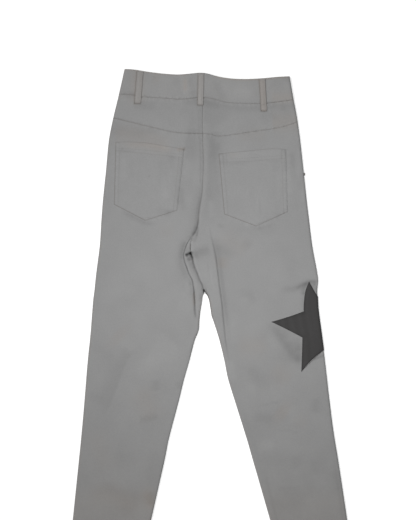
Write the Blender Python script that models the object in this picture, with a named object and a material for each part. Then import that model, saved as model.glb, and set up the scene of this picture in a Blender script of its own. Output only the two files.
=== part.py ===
"""A pair of five-pocket jeans laid flat on its front, so that the back faces up.

Every cut piece is a wall of cloth with its own object: back and front legs with their turned hems, yokes,
waistband, pockets, belt loops and a star patch that wraps round the right outseam. Run it with
    blender --background --python part.py

Lengths are in millimetres until a mesh is made. `x` runs to the wearer's right and `drop` runs from the
top of the waistband at the centre back towards the hems. `side` is LEFT or RIGHT of the wearer and
`layer` is BACK, the cloth on top, or FRONT, the cloth that lies on the ground.
"""

import math
from collections import namedtuple

import bmesh
import bpy
from mathutils import Vector

MM = 0.001
LEFT, RIGHT = -1, 1
BACK, FRONT = 1, -1

# Cloth thicknesses and the clearance that every two pieces keep.
WALL = 1.2
BAND_WALL = 2.4
HEM_WALL = 1.9
POCKET_WALL = 1.0
LOOP_WALL = 1.8
PATCH_WALL = 0.8
SEAM_GAP = 0.3

# The cloth turns down to the outseams and inseams over this width, as a quarter ellipse.
ROLL = 5.0
ROLL_STEPS = tuple(ROLL * (1 - math.cos(math.radians(turn))) for turn in (0, 30, 60, 90))
# The seat seam lies in a shallow groove: the cloth's turn there.
SEAT_TURN = math.radians(50)

# Hems, and how much lower they end at the inseam than at the outseam.
HEM_DROP = 1020.0
HEM_DEPTH = 20.0
HEM_STEP = 0.6
HEM_SLANT = 20.0
HEM_SLANT_START = 800.0

Edge = namedtuple("Edge", "drop left right")
OUTSEAM = (
    Edge(-30, -164.0, 171.5),
    Edge(-10, -168.2, 175.5),
    Edge(50, -182.3, 186.5),
    Edge(92, -192.4, 194.0),
    Edge(139, -201.4, 200.6),
    Edge(202, -207.5, 208.0),
    Edge(265, -214.0, 214.2),
    Edge(307, -217.0, 219.0),
    Edge(370, -221.6, 227.2),
    Edge(412, -227.2, 235.2),
    Edge(433, -229.6, 237.8),
    Edge(454, -231.4, 236.2),
    Edge(496, -235.8, 239.6),
    Edge(601, -245.7, 252.2),
    Edge(685, -252.6, 262.3),
    Edge(811, -264.6, 280.6),
    Edge(935, -277.2, 298.6),
    Edge(1045, -288.0, 315.0),
)
# The inseams below the crotch, which both layers share.
INSEAM = (
    Edge(454, -3.0, -2.0),
    Edge(464, -4.4, 3.4),
    Edge(475, -5.7, 8.8),
    Edge(517, -11.1, 17.6),
    Edge(538, -13.4, 24.6),
    Edge(559, -20.6, 31.1),
    Edge(601, -31.9, 41.4),
    Edge(643, -44.1, 50.4),
    Edge(685, -54.4, 63.0),
    Edge(769, -76.4, 89.0),
    Edge(853, -94.1, 113.4),
    Edge(935, -112.8, 136.9),
    Edge(1045, -138.0, 169.0),
)
# The seat seam, which ends between the thighs, and the fly and crotch seam of the front.
CENTRE_BACK = tuple(
    Edge(drop, x, x)
    for drop, x in (
        (-30, -4.0),
        (122, -5.0),
        (190, -3.2),
        (235, -6.0),
        (273, -11.5),
        (311, -16.0),
        (323, -18.2),
        (336, -24.0),
        (349, -28.4),
        (368, -30.5),
        (386, -26.6),
        (403, -22.0),
        (424, -13.8),
        (445, -5.4),
    )
)
CENTRE_FRONT = tuple(
    Edge(drop, x, x)
    for drop, x in (
        (-30, 6.0),
        (195, 6.0),
        (210, 3.5),
        (225, -1.5),
        (240, -3.0),
        (440, -3.0),
    )
)
INNER = {BACK: CENTRE_BACK + INSEAM, FRONT: CENTRE_FRONT + INSEAM}

# Heights over the ground: the top of the back layer, and the underside of the front layer, which its
# belt loops, its button, its rivets and the patch lift a little.
Loft = namedtuple("Loft", "drop top under_left under_right")
LOFT = (
    Loft(60, 7.2, 2.1, 2.1),
    Loft(97, 6.8, 2.1, 2.1),
    Loft(120, 6.5, 1.4, 1.4),
    Loft(232, 6.2, 1.4, 1.4),
    Loft(265, 6.2, 0.0, 0.0),
    Loft(403, 5.9, 0.0, 0.0),
    Loft(424, 5.8, 0.0, 1.1),
    Loft(643, 5.2, 0.0, 1.1),
    Loft(685, 5.1, 0.0, 0.0),
    Loft(935, 4.8, 0.0, 0.0),
)
BAND_TOP = 8.4

# A fold of the back layer runs down its line; `step` is how far the cloth between it and the centre
# stands above the rest (or, if negative, below it), and `width` is how wide the step is.
Fold = namedtuple("Fold", "drop x step")
FOLD_WIDTH = {LEFT: 2.0, RIGHT: 4.0}
FOLD_CLEAR = 8.0
FOLDS = {
    LEFT: (
        Fold(325, -26.0, 0.0),
        Fold(342, -34.0, -0.7),
        Fold(355, -38.5, -1.5),
        Fold(370, -43.0, -2.4),
        Fold(380, -43.0, -2.4),
        Fold(397, -40.0, -2.4),
        Fold(418, -31.5, -2.4),
        Fold(439, -25.2, -2.4),
        Fold(464, -22.5, -2.2),
        Fold(485, -19.0, -1.4),
        Fold(505, -16.0, 0.0),
    ),
    RIGHT: (
        Fold(317, 8.4, 0.0),
        Fold(338, 12.6, 0.6),
        Fold(363, 17.9, 1.6),
        Fold(395, 23.0, 2.2),
        Fold(439, 27.3, 2.2),
        Fold(479, 32.6, 2.2),
        Fold(517, 37.2, 2.0),
        Fold(563, 43.0, 1.3),
        Fold(613, 53.0, 0.0),
    ),
}

# Seams that cross the body, from the left outseam to the right one.
Cross = namedtuple("Cross", "x drop")
BACK_RIM = (
    Cross(-168, -9.8),
    Cross(-149, -8.6),
    Cross(-115, -3.4),
    Cross(-82, 0.4),
    Cross(-55, 1.8),
    Cross(-31, 0.0),
    Cross(-10, -1.9),
    Cross(5, -0.4),
    Cross(19, 3.6),
    Cross(36, 7.6),
    Cross(58, 10.4),
    Cross(86, 11.3),
    Cross(120, 9.7),
    Cross(153, 6.7),
    Cross(178, 5.4),
)
BACK_WAIST = (
    Cross(-182, 44.5),
    Cross(-150, 46.5),
    Cross(-120, 49.5),
    Cross(-90, 51.6),
    Cross(-55, 53.6),
    Cross(-31, 52.2),
    Cross(-12, 49.4),
    Cross(8, 50.8),
    Cross(27, 55.6),
    Cross(45, 60.0),
    Cross(75, 62.2),
    Cross(105, 62.8),
    Cross(135, 61.2),
    Cross(160, 58.2),
    Cross(188, 54.4),
)
YOKE_SEAM = (
    Cross(-194, 92.0),
    Cross(-161, 100.0),
    Cross(-111, 112.2),
    Cross(-75, 120.6),
    Cross(-50, 124.2),
    Cross(-5, 125.4),
    Cross(13, 126.8),
    Cross(26, 130.6),
    Cross(50, 129.0),
    Cross(101, 121.4),
    Cross(151, 114.0),
    Cross(178, 107.2),
    Cross(196, 99.6),
)
FRONT_RIM = (
    Cross(-168, -9.4),
    Cross(-120, 2.0),
    Cross(-60, 14.0),
    Cross(0, 20.0),
    Cross(60, 22.0),
    Cross(120, 17.0),
    Cross(178, 5.8),
)
FRONT_WAIST = (
    Cross(-182, 44.5),
    Cross(-120, 55.0),
    Cross(-60, 66.0),
    Cross(0, 71.5),
    Cross(60, 73.0),
    Cross(120, 68.0),
    Cross(188, 54.4),
)

# Back pockets: top edge from left to right, then the right corner, the point and the left corner.
POCKETS = {
    LEFT: (
        Cross(-186.0, 143.0),
        Cross(-158.0, 142.6),
        Cross(-126.0, 144.0),
        Cross(-44.0, 158.0),
        Cross(-59.0, 286.0),
        Cross(-125.0, 307.0),
        Cross(-189.5, 273.6),
    ),
    RIGHT: (
        Cross(29.6, 167.6),
        Cross(92.0, 161.4),
        Cross(140.0, 156.8),
        Cross(170.0, 158.0),
        Cross(173.6, 288.8),
        Cross(107.6, 318.8),
        Cross(41.4, 293.8),
    ),
}

# Belt loops, by the middle of their upper and lower ends.
Loop = namedtuple("Loop", "name layer x_top x_bottom")
LOOP_WIDTH = 13.5
LOOP_BELOW_SEAM = 17.0
LOOP_RIM_INSET = 1.2
LOOP_STEP_START, LOOP_STEP_END = 1.0, 5.0
LOOPS = (
    Loop("belt_loop_back_left", BACK, -135.5, -141.0),
    Loop("belt_loop_back_centre", BACK, -7.5, -8.5),
    Loop("belt_loop_back_right", BACK, 120.5, 123.0),
    Loop("belt_loop_front_left", FRONT, -70.0, -71.0),
    Loop("belt_loop_front_right", FRONT, 74.0, 75.0),
)

# The star, laid out on the cloth as if the leg were slit open along the outseam.
STAR_X = 241.5
STAR_DROP = 531.0
STAR_TIP = 98.5
STAR_NOTCH = 44.0
STAR_TURN = math.radians(-13.5)
ON_SEAM = 0.05

# Front pocket mouths: a quarter ellipse from the waist seam to the outseam, cut at these turns.
MOUTH_WIDTH = 76.0
MOUTH_END = 202.0
MOUTH_TURNS = tuple(math.radians(turn) for turn in (0, 20, 40, 56, 69, 80))
FACING_RECESS = 0.8

# The fly laps over the zip, whose tape lies inside.
ZIP_LEFT, ZIP_RIGHT, ZIP_TOP, ZIP_BOTTOM = -16.0, 12.0, 78.0, 198.0
ZIP_WALL = 1.0

# Hardware: a button under the front of the waistband, and a rivet at both ends of each pocket mouth.
# The lower rivet of the right mouth sits round at the side, on the outseam.
BUTTON_X, BUTTON_DROP, BUTTON_RADIUS, BUTTON_HEIGHT = -4.0, 46.0, 8.5, 1.8
RIVET_RADIUS, RIVET_HEIGHT, RIVET_INSET = 4.0, 1.0, 7.0
SIDE_RIVET_DROP, SIDE_RIVET_RADIUS, SIDE_RIVET_HEIGHT = 210.5, 3.4, 1.8
TURNED_SIDES = 20

# Rows of the leg panels, by their drop; the upper ones come from the seams above them.
SEAT_START = 148.0
SEAT_ROWS = (SEAT_START, 190, 232, 265, 290, 311, 325, 337, 349, 360, 370, 380, 392, 403)
LAP_ROWS = (MOUTH_END, 216, 232, 265, 325, 403)
LEG_ROWS = (424, 436, 445, 454, 464, 475, 496, 517, 538, 559, 580, 601, 622, 643, 685, 740, 811, 873, 935)

# Colour (linear), roughness and metallic value of each finish.
FINISHES = {
    "grey_twill": ((0.30, 0.30, 0.295), 0.9, 0.0),
    "star_twill": ((0.06, 0.059, 0.058), 0.9, 0.0),
    "zip_tape": ((0.2, 0.2, 0.2), 0.8, 0.0),
    "dark_metal": ((0.05, 0.045, 0.04), 0.4, 1.0),
}


def clamp(value, low=0.0, high=1.0):
    return max(low, min(high, value))


def mix(start, end, share):
    return start * (1 - share) + end * share


def steps(first, last, count):
    """`count` evenly spaced numbers that end on both given ones."""
    return [mix(first, last, i / (count - 1)) for i in range(count)]


def straight(table, at, column):
    """The column's value at `at`, on straight lines between the rows and level past the ends."""
    if at <= table[0][0]:
        return getattr(table[0], column)
    for start, end in zip(table, table[1:]):
        if at <= end[0]:
            return mix(getattr(start, column), getattr(end, column), (at - start[0]) / (end[0] - start[0]))
    return getattr(table[-1], column)


def smooth(table, at, column):
    """The column's value at `at`, on a smooth curve through the rows and level past the ends."""
    last = len(table) - 1
    after = max(1, next((i for i, row in enumerate(table) if row[0] >= at), last))

    def slope(i):
        low, high = table[max(i - 1, 0)], table[min(i + 1, last)]
        return (getattr(high, column) - getattr(low, column)) / (high[0] - low[0])

    start, end = table[after - 1], table[after]
    span = end[0] - start[0]
    t = clamp((at - start[0]) / span)
    rise = getattr(end, column) - getattr(start, column)
    leaving, arriving = slope(after - 1) * span, slope(after) * span
    bend = t * (1 - t) ** 2 * leaving - t * t * (1 - t) * arriving
    return getattr(start, column) + t * t * (3 - 2 * t) * rise + bend


def side_name(side):
    return "left" if side == LEFT else "right"


def outer_edge(side, drop):
    return smooth(OUTSEAM, drop, side_name(side))


def inner_edge(side, layer, drop):
    """The seam towards the centre: the seat or fly seam above the crotch and the inseam below it."""
    return smooth(INNER[layer], drop, side_name(side)) + side * SEAM_GAP / 2


def width_of(side, layer, drop):
    return side * (outer_edge(side, drop) - inner_edge(side, layer, drop))


def inner_turn(layer, drop):
    """The angle at which the cloth meets its inner seam: 0 is a full fold, 90 degrees lies flat."""
    if layer == BACK:
        return SEAT_TURN * (1 - clamp((drop - 330) / 45))
    return math.pi / 2 * (1 - clamp((drop - 436) / 28))


def fold_line(side, drop):
    """The x of the side's fold, which keeps clear of the inner seam."""
    seam = inner_edge(side, BACK, drop)
    return side * max(side * straight(FOLDS[side], drop, "x"), side * seam + FOLD_CLEAR)


def fold_step(side, x, drop):
    """How far the fold moves the top of the cloth at a point."""
    past = side * (fold_line(side, drop) - x) / FOLD_WIDTH[side] + 0.5
    return straight(FOLDS[side], drop, "step") * clamp(past)


def under(side, drop):
    return straight(LOFT, drop, "under_" + side_name(side))


def top(drop):
    return straight(LOFT, drop, "top")


def seam_height(side, drop, upper=None):
    """The height of the outseam and the inseam, halfway between the ground side and the top."""
    return ((top(drop) if upper is None else upper) + under(side, drop)) / 2


def place(side, layer, x, drop, lift=0.0, level=None, middle=None, crosses_centre=False):
    """A point of the cloth in the garment's frame, moved out of its surface by `lift`.

    The cloth lies at `level` and turns down (in front, up) to the height `middle` at the seams on its
    two edges, or on its outer edge alone if it crosses the centre. Both have the panels' own heights
    unless they are given.
    """
    if level is None:
        level = top(drop) + fold_step(side, x, drop) if layer == BACK else under(side, drop)
    if middle is None:
        middle = seam_height(side, drop)
    middle += layer * SEAM_GAP / 2
    from_outer = side * (outer_edge(side, drop) - x)
    from_inner = side * (x - inner_edge(side, layer, drop))
    turn, facing = math.pi / 2, 0
    if from_outer < ROLL:
        turn, facing = math.acos(clamp(1 - from_outer / ROLL)), side
    elif from_inner < ROLL and not crosses_centre:
        turn, facing = math.acos(clamp(math.cos(inner_turn(layer, drop)) - from_inner / ROLL)), -side
    height = mix(middle, level, math.sin(turn))
    return Vector((x + lift * facing * math.cos(turn), -drop, height + layer * lift * math.sin(turn)))


def panel_pair(side, layer, x, drop, wall=WALL):
    """The outer and the inner point of a panel: a fold that stands up is solid, one that dips is not."""
    inner_level = None
    if layer == BACK:
        inner_level = top(drop) + min(0.0, fold_step(side, x, drop))
    return place(side, layer, x, drop), place(side, layer, x, drop, -wall, inner_level)


def band_pair(side, layer, x, drop):
    level = BAND_TOP if layer == BACK else under(side, drop)
    middle = seam_height(side, drop, BAND_TOP)
    return tuple(place(side, layer, x, drop, lift, level, middle, True) for lift in (0.0, -BAND_WALL))


def facing_pair(side, x, drop):
    level = under(side, drop) + FACING_RECESS
    return tuple(place(side, FRONT, x, drop, lift, level) for lift in (0.0, -WALL))


def row_reaches(side, layer, drop, start=0.0):
    """The columns of a panel's row, as distances from the outseam."""
    width = width_of(side, layer, drop)
    near = [start + step for step in ROLL_STEPS]
    far = [width - step for step in reversed(ROLL_STEPS)]
    if layer == FRONT:
        return near + steps(near[-1], far[0], 6)[1:-1] + far
    half_step = FOLD_WIDTH[side] / 2
    fold = side * (outer_edge(side, drop) - fold_line(side, drop))
    return near + steps(near[-1], fold - half_step, 6)[1:] + [fold + half_step] + far


def seam_line(seam, offset=0.0):
    """A cross seam as a function from x to drop, `offset` below its own line."""
    return lambda x: smooth(seam, x, "drop") + offset


def between(upper, lower, share):
    """A line at a share of the way from one line down to another."""
    return lambda x: mix(upper(x), lower(x), share)


def leg_line(side, layer, nominal):
    """A line straight across a leg, which slants down to the inseam near the hem."""
    slant = HEM_SLANT * clamp((nominal - HEM_SLANT_START) / (HEM_DROP - HEM_SLANT_START))
    edge, width = outer_edge(side, nominal), width_of(side, layer, nominal)
    return lambda x: nominal + slant * clamp(side * (edge - x) / width)


def start_of(side, line):
    """The drop at which a line leaves the outseam."""
    return line(outer_edge(side, line(outer_edge(side, 0.0))))


def row_spots(side, layer, line, reaches=None):
    """The (x, drop) of the points of a row along a line, in from the outseam."""
    nominal = start_of(side, line)
    width = width_of(side, layer, nominal)
    spots = []
    for reach in reaches or row_reaches(side, layer, nominal):
        drop = line(outer_edge(side, nominal) - side * reach)
        x = outer_edge(side, drop) - side * reach / width * width_of(side, layer, drop)
        if reach < 2 * ROLL:
            x = outer_edge(side, drop) - side * reach
        spots.append((x, drop))
    return spots


def finish_of(name):
    """The Blender material for a finish, made once."""
    material = bpy.data.materials.get(name)
    if material is None:
        colour, roughness, metallic = FINISHES[name]
        material = bpy.data.materials.new(name)
        material.use_nodes = True
        shader = material.node_tree.nodes["Principled BSDF"]
        shader.inputs["Base Color"].default_value = (*colour, 1.0)
        shader.inputs["Roughness"].default_value = roughness
        shader.inputs["Metallic"].default_value = metallic
    return material


def make_object(name, bm, finish, location=(0, 0, 0), rotation=(0, 0, 0)):
    """An object from a bmesh in millimetres, parented to the garment's empty."""
    bmesh.ops.scale(bm, vec=(MM, MM, MM), verts=bm.verts)
    bmesh.ops.recalc_face_normals(bm, faces=bm.faces)
    mesh = bpy.data.meshes.new(name)
    bm.to_mesh(mesh)
    bm.free()
    mesh.shade_smooth()
    mesh.set_sharp_from_angle(angle=math.radians(35))
    mesh.materials.append(finish_of(finish))
    piece = bpy.data.objects.new(name, mesh)
    piece.location = Vector(location) * MM
    piece.rotation_euler = rotation
    piece.parent = bpy.data.objects["jeans"]
    bpy.context.scene.collection.objects.link(piece)


def cloth(name, rows, finish="grey_twill"):
    """A closed wall from rows of (outer point, inner point) pairs."""
    bm = bmesh.new()
    outside, inside = ([[bm.verts.new(pair[face]) for pair in row] for row in rows] for face in (0, 1))
    for grid in (outside, inside):
        for row, below in zip(grid, grid[1:]):
            for corners in zip(row, row[1:], below[1:], below):
                bm.faces.new(corners)
    rims = [(outside[end], inside[end]) for end in (0, -1)]
    rims += [[[row[end] for row in grid] for grid in (outside, inside)] for end in (0, -1)]
    for near, far in rims:
        for corners in zip(near, near[1:], far[1:], far):
            bm.faces.new(corners)
    make_object(name, bm, finish)


def cut_out(name, outline, slits_across, slits_down, pair_at, finish="grey_twill"):
    """A closed wall cut to a flat outline, which is slit along both sets of lines so that it can bend.

    `pair_at(u, v)` gives the outer and the inner point for a place on the flat cut.
    """
    flat = bmesh.new()
    flat.faces.new([flat.verts.new((u, v, 0)) for u, v in outline])
    bmesh.ops.triangulate(flat, faces=flat.faces)
    for axis, slits in ((Vector((1, 0, 0)), slits_across), (Vector((0, 1, 0)), slits_down)):
        for slit in slits:
            whole = flat.verts[:] + flat.edges[:] + flat.faces[:]
            bmesh.ops.bisect_plane(flat, geom=whole, dist=0.01, plane_co=axis * slit, plane_no=axis)
    bmesh.ops.triangulate(flat, faces=flat.faces)
    bm = bmesh.new()
    pairs = {v: [bm.verts.new(point) for point in pair_at(v.co.x, v.co.y)] for v in flat.verts}
    for face in flat.faces:
        for which in (0, 1):
            bm.faces.new([pairs[v][which] for v in face.verts])
    for edge in flat.edges:
        if edge.is_boundary:
            (a, b), (c, d) = (pairs[v] for v in edge.verts)
            bm.faces.new((a, b, d, c))
    flat.free()
    make_object(name, bm, finish)


def turned(name, profile, location, rotation=(0, 0, 0), finish="dark_metal"):
    """A turned solid from (radius, height) steps, standing up from its base."""
    bm = bmesh.new()
    rings = []
    for radius, height in profile:
        circle = bmesh.ops.create_circle(bm, segments=TURNED_SIDES, radius=radius)["verts"]
        bmesh.ops.translate(bm, verts=circle, vec=(0, 0, height))
        rings.append(circle)
    for ring, above in zip(rings, rings[1:]):
        for i in range(TURNED_SIDES):
            j = (i + 1) % TURNED_SIDES
            bm.faces.new((ring[i], ring[j], above[j], above[i]))
    for ring in (rings[0], rings[-1]):
        bm.faces.new(ring)
    make_object(name, bm, finish, location, rotation)


def leg_panel(name, side, layer, rows):
    """A panel's wall from its rows down to the hem, and the thicker turning of the hem."""
    hem_start = HEM_DROP - HEM_DEPTH
    walls = [WALL] * (len(rows) + 1) + [HEM_WALL] * 2
    hem_rows = [leg_line(side, layer, drop) for drop in (hem_start, hem_start + HEM_STEP, HEM_DROP)]
    rows = rows + [row_spots(side, layer, line) for line in hem_rows]
    cloth(name, [[panel_pair(side, layer, *spot, wall) for spot in row] for row, wall in zip(rows, walls)])


def back_panel(side):
    """The back of a leg, from the yoke seam to the hem."""
    head, level = seam_line(YOKE_SEAM, SEAM_GAP / 2), leg_line(side, BACK, SEAT_START)
    lines = [between(head, level, share) for share in (0.0, 0.4, 0.75)]
    lines += [leg_line(side, BACK, drop) for drop in SEAT_ROWS + LEG_ROWS]
    rows = [row_spots(side, BACK, line) for line in lines]
    leg_panel("back_panel_" + side_name(side), side, BACK, rows)


def mouth_line(side, turn):
    """The front's line that meets the pocket mouth where the mouth has turned this far."""
    head, level = seam_line(FRONT_WAIST, SEAM_GAP / 2), leg_line(side, FRONT, MOUTH_END)
    return between(head, level, math.sin(turn))


def front_panel(side):
    """The front of a leg, with the pocket mouth cut away from its upper corner."""
    rows = []
    for turn in MOUTH_TURNS:
        line = mouth_line(side, turn)
        mouth = MOUTH_WIDTH * math.cos(turn) + SEAM_GAP
        rows.append(row_spots(side, FRONT, line, row_reaches(side, FRONT, start_of(side, line), mouth)))
    rows += [row_spots(side, FRONT, leg_line(side, FRONT, drop)) for drop in LAP_ROWS + LEG_ROWS]
    leg_panel("front_panel_" + side_name(side), side, FRONT, rows)


def pocket_facing(side):
    """The cloth that shows in the front pocket's mouth, a little deeper than the front itself."""
    grid = []
    for turn in MOUTH_TURNS:
        reaches = list(ROLL_STEPS) + steps(ROLL, MOUTH_WIDTH * math.cos(turn), 5)[1:]
        spots = row_spots(side, FRONT, mouth_line(side, turn), reaches)
        grid.append([facing_pair(side, *spot) for spot in spots])
    cloth("pocket_facing_" + side_name(side), grid)


def yoke(side):
    """The shaped piece between the waistband and the back panel."""
    head, foot = seam_line(BACK_WAIST, SEAM_GAP / 2), seam_line(YOKE_SEAM, -SEAM_GAP / 2)
    rows = [row_spots(side, BACK, between(head, foot, share)) for share in (0.0, 0.35, 0.7, 1.0)]
    cloth("yoke_" + side_name(side), [[panel_pair(side, BACK, *spot) for spot in row] for row in rows])


def waistband_back():
    """The back half of the waistband, in one piece from side seam to side seam."""
    grid = []
    for share in (0.0, 0.5, 1.0):
        line = between(seam_line(BACK_RIM), seam_line(BACK_WAIST, -SEAM_GAP / 2), share)
        left, right = (
            [band_pair(side, BACK, *spot) for spot in row_spots(side, BACK, line)[:-1]]
            for side in (LEFT, RIGHT)
        )
        grid.append(left + right[::-1])
    cloth("waistband_back", grid)


def waistband_front(side):
    """A front half of the waistband, from its side seam to where the halves meet at the fly."""
    rim, foot = seam_line(FRONT_RIM), seam_line(FRONT_WAIST, -SEAM_GAP / 2)
    rows = [row_spots(side, FRONT, between(rim, foot, share)) for share in (0.0, 0.5, 1.0)]
    grid = [[band_pair(side, FRONT, *spot) for spot in row] for row in rows]
    cloth("waistband_front_" + side_name(side), grid)


def raised(layer, x, drop, level, wall):
    """A pair of points for what lies on a layer, whose surface is at `level` there."""
    return tuple(Vector((x, -drop, level + layer * lift)) for lift in (SEAM_GAP + wall, SEAM_GAP))


def back_pocket(side):
    """A patch pocket on the back panel."""
    cut_out(
        "back_pocket_" + side_name(side),
        POCKETS[side],
        (),
        [row.drop for row in LOFT],
        lambda x, drop: raised(BACK, x, drop, top(drop), POCKET_WALL),
    )


def belt_loop(loop):
    """A loop from just under the band's rim to a little below the waist seam."""
    rim, seam = (BACK_RIM, BACK_WAIST) if loop.layer == BACK else (FRONT_RIM, FRONT_WAIST)
    end = smooth(seam, loop.x_bottom, "drop") + LOOP_BELOW_SEAM
    lines = (
        seam_line(rim, LOOP_RIM_INSET),
        seam_line(seam, LOOP_STEP_START),
        seam_line(seam, LOOP_STEP_END),
        lambda x: end,
    )
    grid = []
    for line, on_band in zip(lines, (True, True, False, False)):
        share = (line(loop.x_top) - lines[0](loop.x_top)) / (end - lines[0](loop.x_top))
        middle = mix(loop.x_top, loop.x_bottom, share)
        row = []
        for x in steps(middle - LOOP_WIDTH / 2, middle + LOOP_WIDTH / 2, 3):
            side = RIGHT if x > 0 else LEFT
            level = under(side, line(x))
            if loop.layer == BACK:
                level = BAND_TOP if on_band else top(line(x))
            row.append(raised(loop.layer, x, line(x), level, LOOP_WALL))
        grid.append(row)
    cloth(loop.name, grid)


def star_outline():
    """The star's corners as (reach, drop): the reach from the outseam is below 0 on the leg's front.

    The outseam leans, and the front half is mirrored in it.
    """
    ends = [outer_edge(RIGHT, STAR_DROP + end * STAR_TIP) for end in (-1, 1)]
    lean = (ends[1] - ends[0]) / (2 * STAR_TIP)
    corners = []
    for i in range(10):
        radius = STAR_NOTCH if i % 2 else STAR_TIP
        turn = STAR_TURN + math.pi * i / 5
        drop = STAR_DROP - radius * math.cos(turn)
        corners.append((outer_edge(RIGHT, drop) - STAR_X - radius * math.sin(turn), drop))
    outline = []
    for (reach, drop), (next_reach, next_drop) in zip(corners, corners[1:] + corners[:1]):
        outline.append((reach, drop + max(0.0, -reach) * 2 * lean / (1 + lean * lean)))
        if reach * next_reach < 0:
            outline.append((0.0, mix(drop, next_drop, reach / (reach - next_reach))))
    return outline


def star_pair(reach, drop):
    """The star's outer and inner point; on the outseam itself they lie midway between the layers."""
    x = outer_edge(RIGHT, drop) - abs(reach)
    layers = [BACK] if reach > ON_SEAM else [FRONT] if reach < -ON_SEAM else [BACK, FRONT]
    pair = []
    for lift in (SEAM_GAP + PATCH_WALL, SEAM_GAP):
        points = [place(RIGHT, layer, x, drop, lift) for layer in layers]
        pair.append(sum(points, Vector()) / len(points))
    return pair


def star_patch():
    """The star, which wraps round the outseam of the right leg."""
    slits = [side * step for side in (LEFT, RIGHT) for step in ROLL_STEPS]
    cut_out("star_patch", star_outline(), slits, LEG_ROWS, star_pair, "star_twill")


def fly_zip():
    """The zip's tape, inside the fly."""
    rows = []
    for drop in steps(ZIP_TOP, ZIP_BOTTOM, 4):
        lifts = [-(WALL + SEAM_GAP), -(WALL + SEAM_GAP + ZIP_WALL)]
        columns = steps(ZIP_LEFT, ZIP_RIGHT, 4)
        rows.append([[place(LEFT, FRONT, x, drop, lift) for lift in lifts] for x in columns])
    cloth("fly_zip", rows, "zip_tape")


def hardware():
    """The waist button and the rivets, under the front, but for one rivet at the right outseam."""
    face_down = (math.pi, 0, 0)
    button_base = under(LEFT, BUTTON_DROP) - SEAM_GAP
    profile = domed(BUTTON_RADIUS, BUTTON_HEIGHT)
    turned("waist_button", profile, (BUTTON_X, -BUTTON_DROP, button_base), face_down)
    for side in (LEFT, RIGHT):
        mouth_top = outer_edge(side, 60) - side * (MOUTH_WIDTH + RIVET_INSET)
        places = {"upper": (mouth_top, smooth(FRONT_WAIST, mouth_top, "drop") + RIVET_INSET)}
        if side == LEFT:
            places["lower"] = (outer_edge(side, MOUTH_END) + 2 * RIVET_INSET, MOUTH_END)
        for name, (x, drop) in places.items():
            base = under(side, drop) - SEAM_GAP
            name = "rivet_" + name + "_" + side_name(side)
            turned(name, domed(RIVET_RADIUS, RIVET_HEIGHT), (x, -drop, base), face_down)
    edge = outer_edge(RIGHT, SIDE_RIVET_DROP) + SEAM_GAP
    at_side = (edge, -SIDE_RIVET_DROP, seam_height(RIGHT, SIDE_RIVET_DROP))
    face_out = (0, math.pi / 2, 0)
    turned("rivet_lower_right", domed(SIDE_RIVET_RADIUS, SIDE_RIVET_HEIGHT), at_side, face_out)


def domed(radius, height):
    """The profile of a low domed head."""
    return (radius, 0.0), (radius, 0.35 * height), (0.8 * radius, 0.8 * height), (0.45 * radius, height)


def main():
    for old in list(bpy.data.objects):
        bpy.data.objects.remove(old)
    jeans = bpy.data.objects.new("jeans", None)
    bpy.context.scene.collection.objects.link(jeans)
    furthest_left, furthest_right = (outer_edge(side, HEM_DROP) for side in (LEFT, RIGHT))
    highest = min(row.drop for row in BACK_RIM)
    middle_drop = (highest + HEM_DROP + HEM_SLANT) / 2
    jeans.location = Vector((-(furthest_left + furthest_right) / 2, middle_drop, 0)) * MM

    for side in (LEFT, RIGHT):
        back_panel(side)
        yoke(side)
        back_pocket(side)
        front_panel(side)
        pocket_facing(side)
        waistband_front(side)
    waistband_back()
    for loop in LOOPS:
        belt_loop(loop)
    star_patch()
    fly_zip()
    hardware()


main()
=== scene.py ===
"""A pair of jeans laid flat with its back up: the cloth, stitching and metal, and a small studio for it.

It is laid out as an add-on and run as a script. Lengths are in millimetres until a mesh is made. In plan,
`x` runs to the wearer's right and `drop` runs from the top of the waistband at the centre back towards
the hems; heights are over the ground. `side` is LEFT or RIGHT of the wearer, and `layer` is BACK, the
cloth on top, or FRONT, the cloth that lies on the ground.
"""

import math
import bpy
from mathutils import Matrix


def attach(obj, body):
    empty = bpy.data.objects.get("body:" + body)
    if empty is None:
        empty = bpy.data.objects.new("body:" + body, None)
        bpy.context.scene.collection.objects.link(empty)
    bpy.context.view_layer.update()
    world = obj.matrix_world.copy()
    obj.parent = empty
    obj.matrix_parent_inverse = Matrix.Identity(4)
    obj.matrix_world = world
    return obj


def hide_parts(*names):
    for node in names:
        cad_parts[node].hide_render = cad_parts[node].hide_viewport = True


bl_info = {
    "name": "Jeans Laid Flat",
    "version": (1, 0, 0),
    "blender": (4, 5, 0),
    "location": "3D View > Sidebar > Jeans",
    "description": "Makes the cloth, stitching and metal of a pair of jeans, and a studio to show it in",
    "category": "Add Mesh",
}

from collections import namedtuple

import bmesh
import bpy
import numpy as np
from bpy.props import FloatProperty, FloatVectorProperty, PointerProperty
from mathutils import Vector

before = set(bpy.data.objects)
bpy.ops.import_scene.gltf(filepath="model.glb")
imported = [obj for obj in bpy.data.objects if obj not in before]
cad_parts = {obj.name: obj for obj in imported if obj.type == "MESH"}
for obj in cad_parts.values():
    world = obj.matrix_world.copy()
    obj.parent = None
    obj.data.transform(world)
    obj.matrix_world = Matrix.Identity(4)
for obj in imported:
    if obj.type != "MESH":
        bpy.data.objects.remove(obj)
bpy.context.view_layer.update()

MM = 0.001
LEFT, RIGHT = -1, 1
BACK, FRONT = 1, -1
SIDE_NAMES = {LEFT: "left", RIGHT: "right"}

# Clearances and the forms that the cloth shares with its solids.
SEAM_GAP = 0.08
LAYER_GAP = 0.3
ROLL = 5.0
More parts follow.
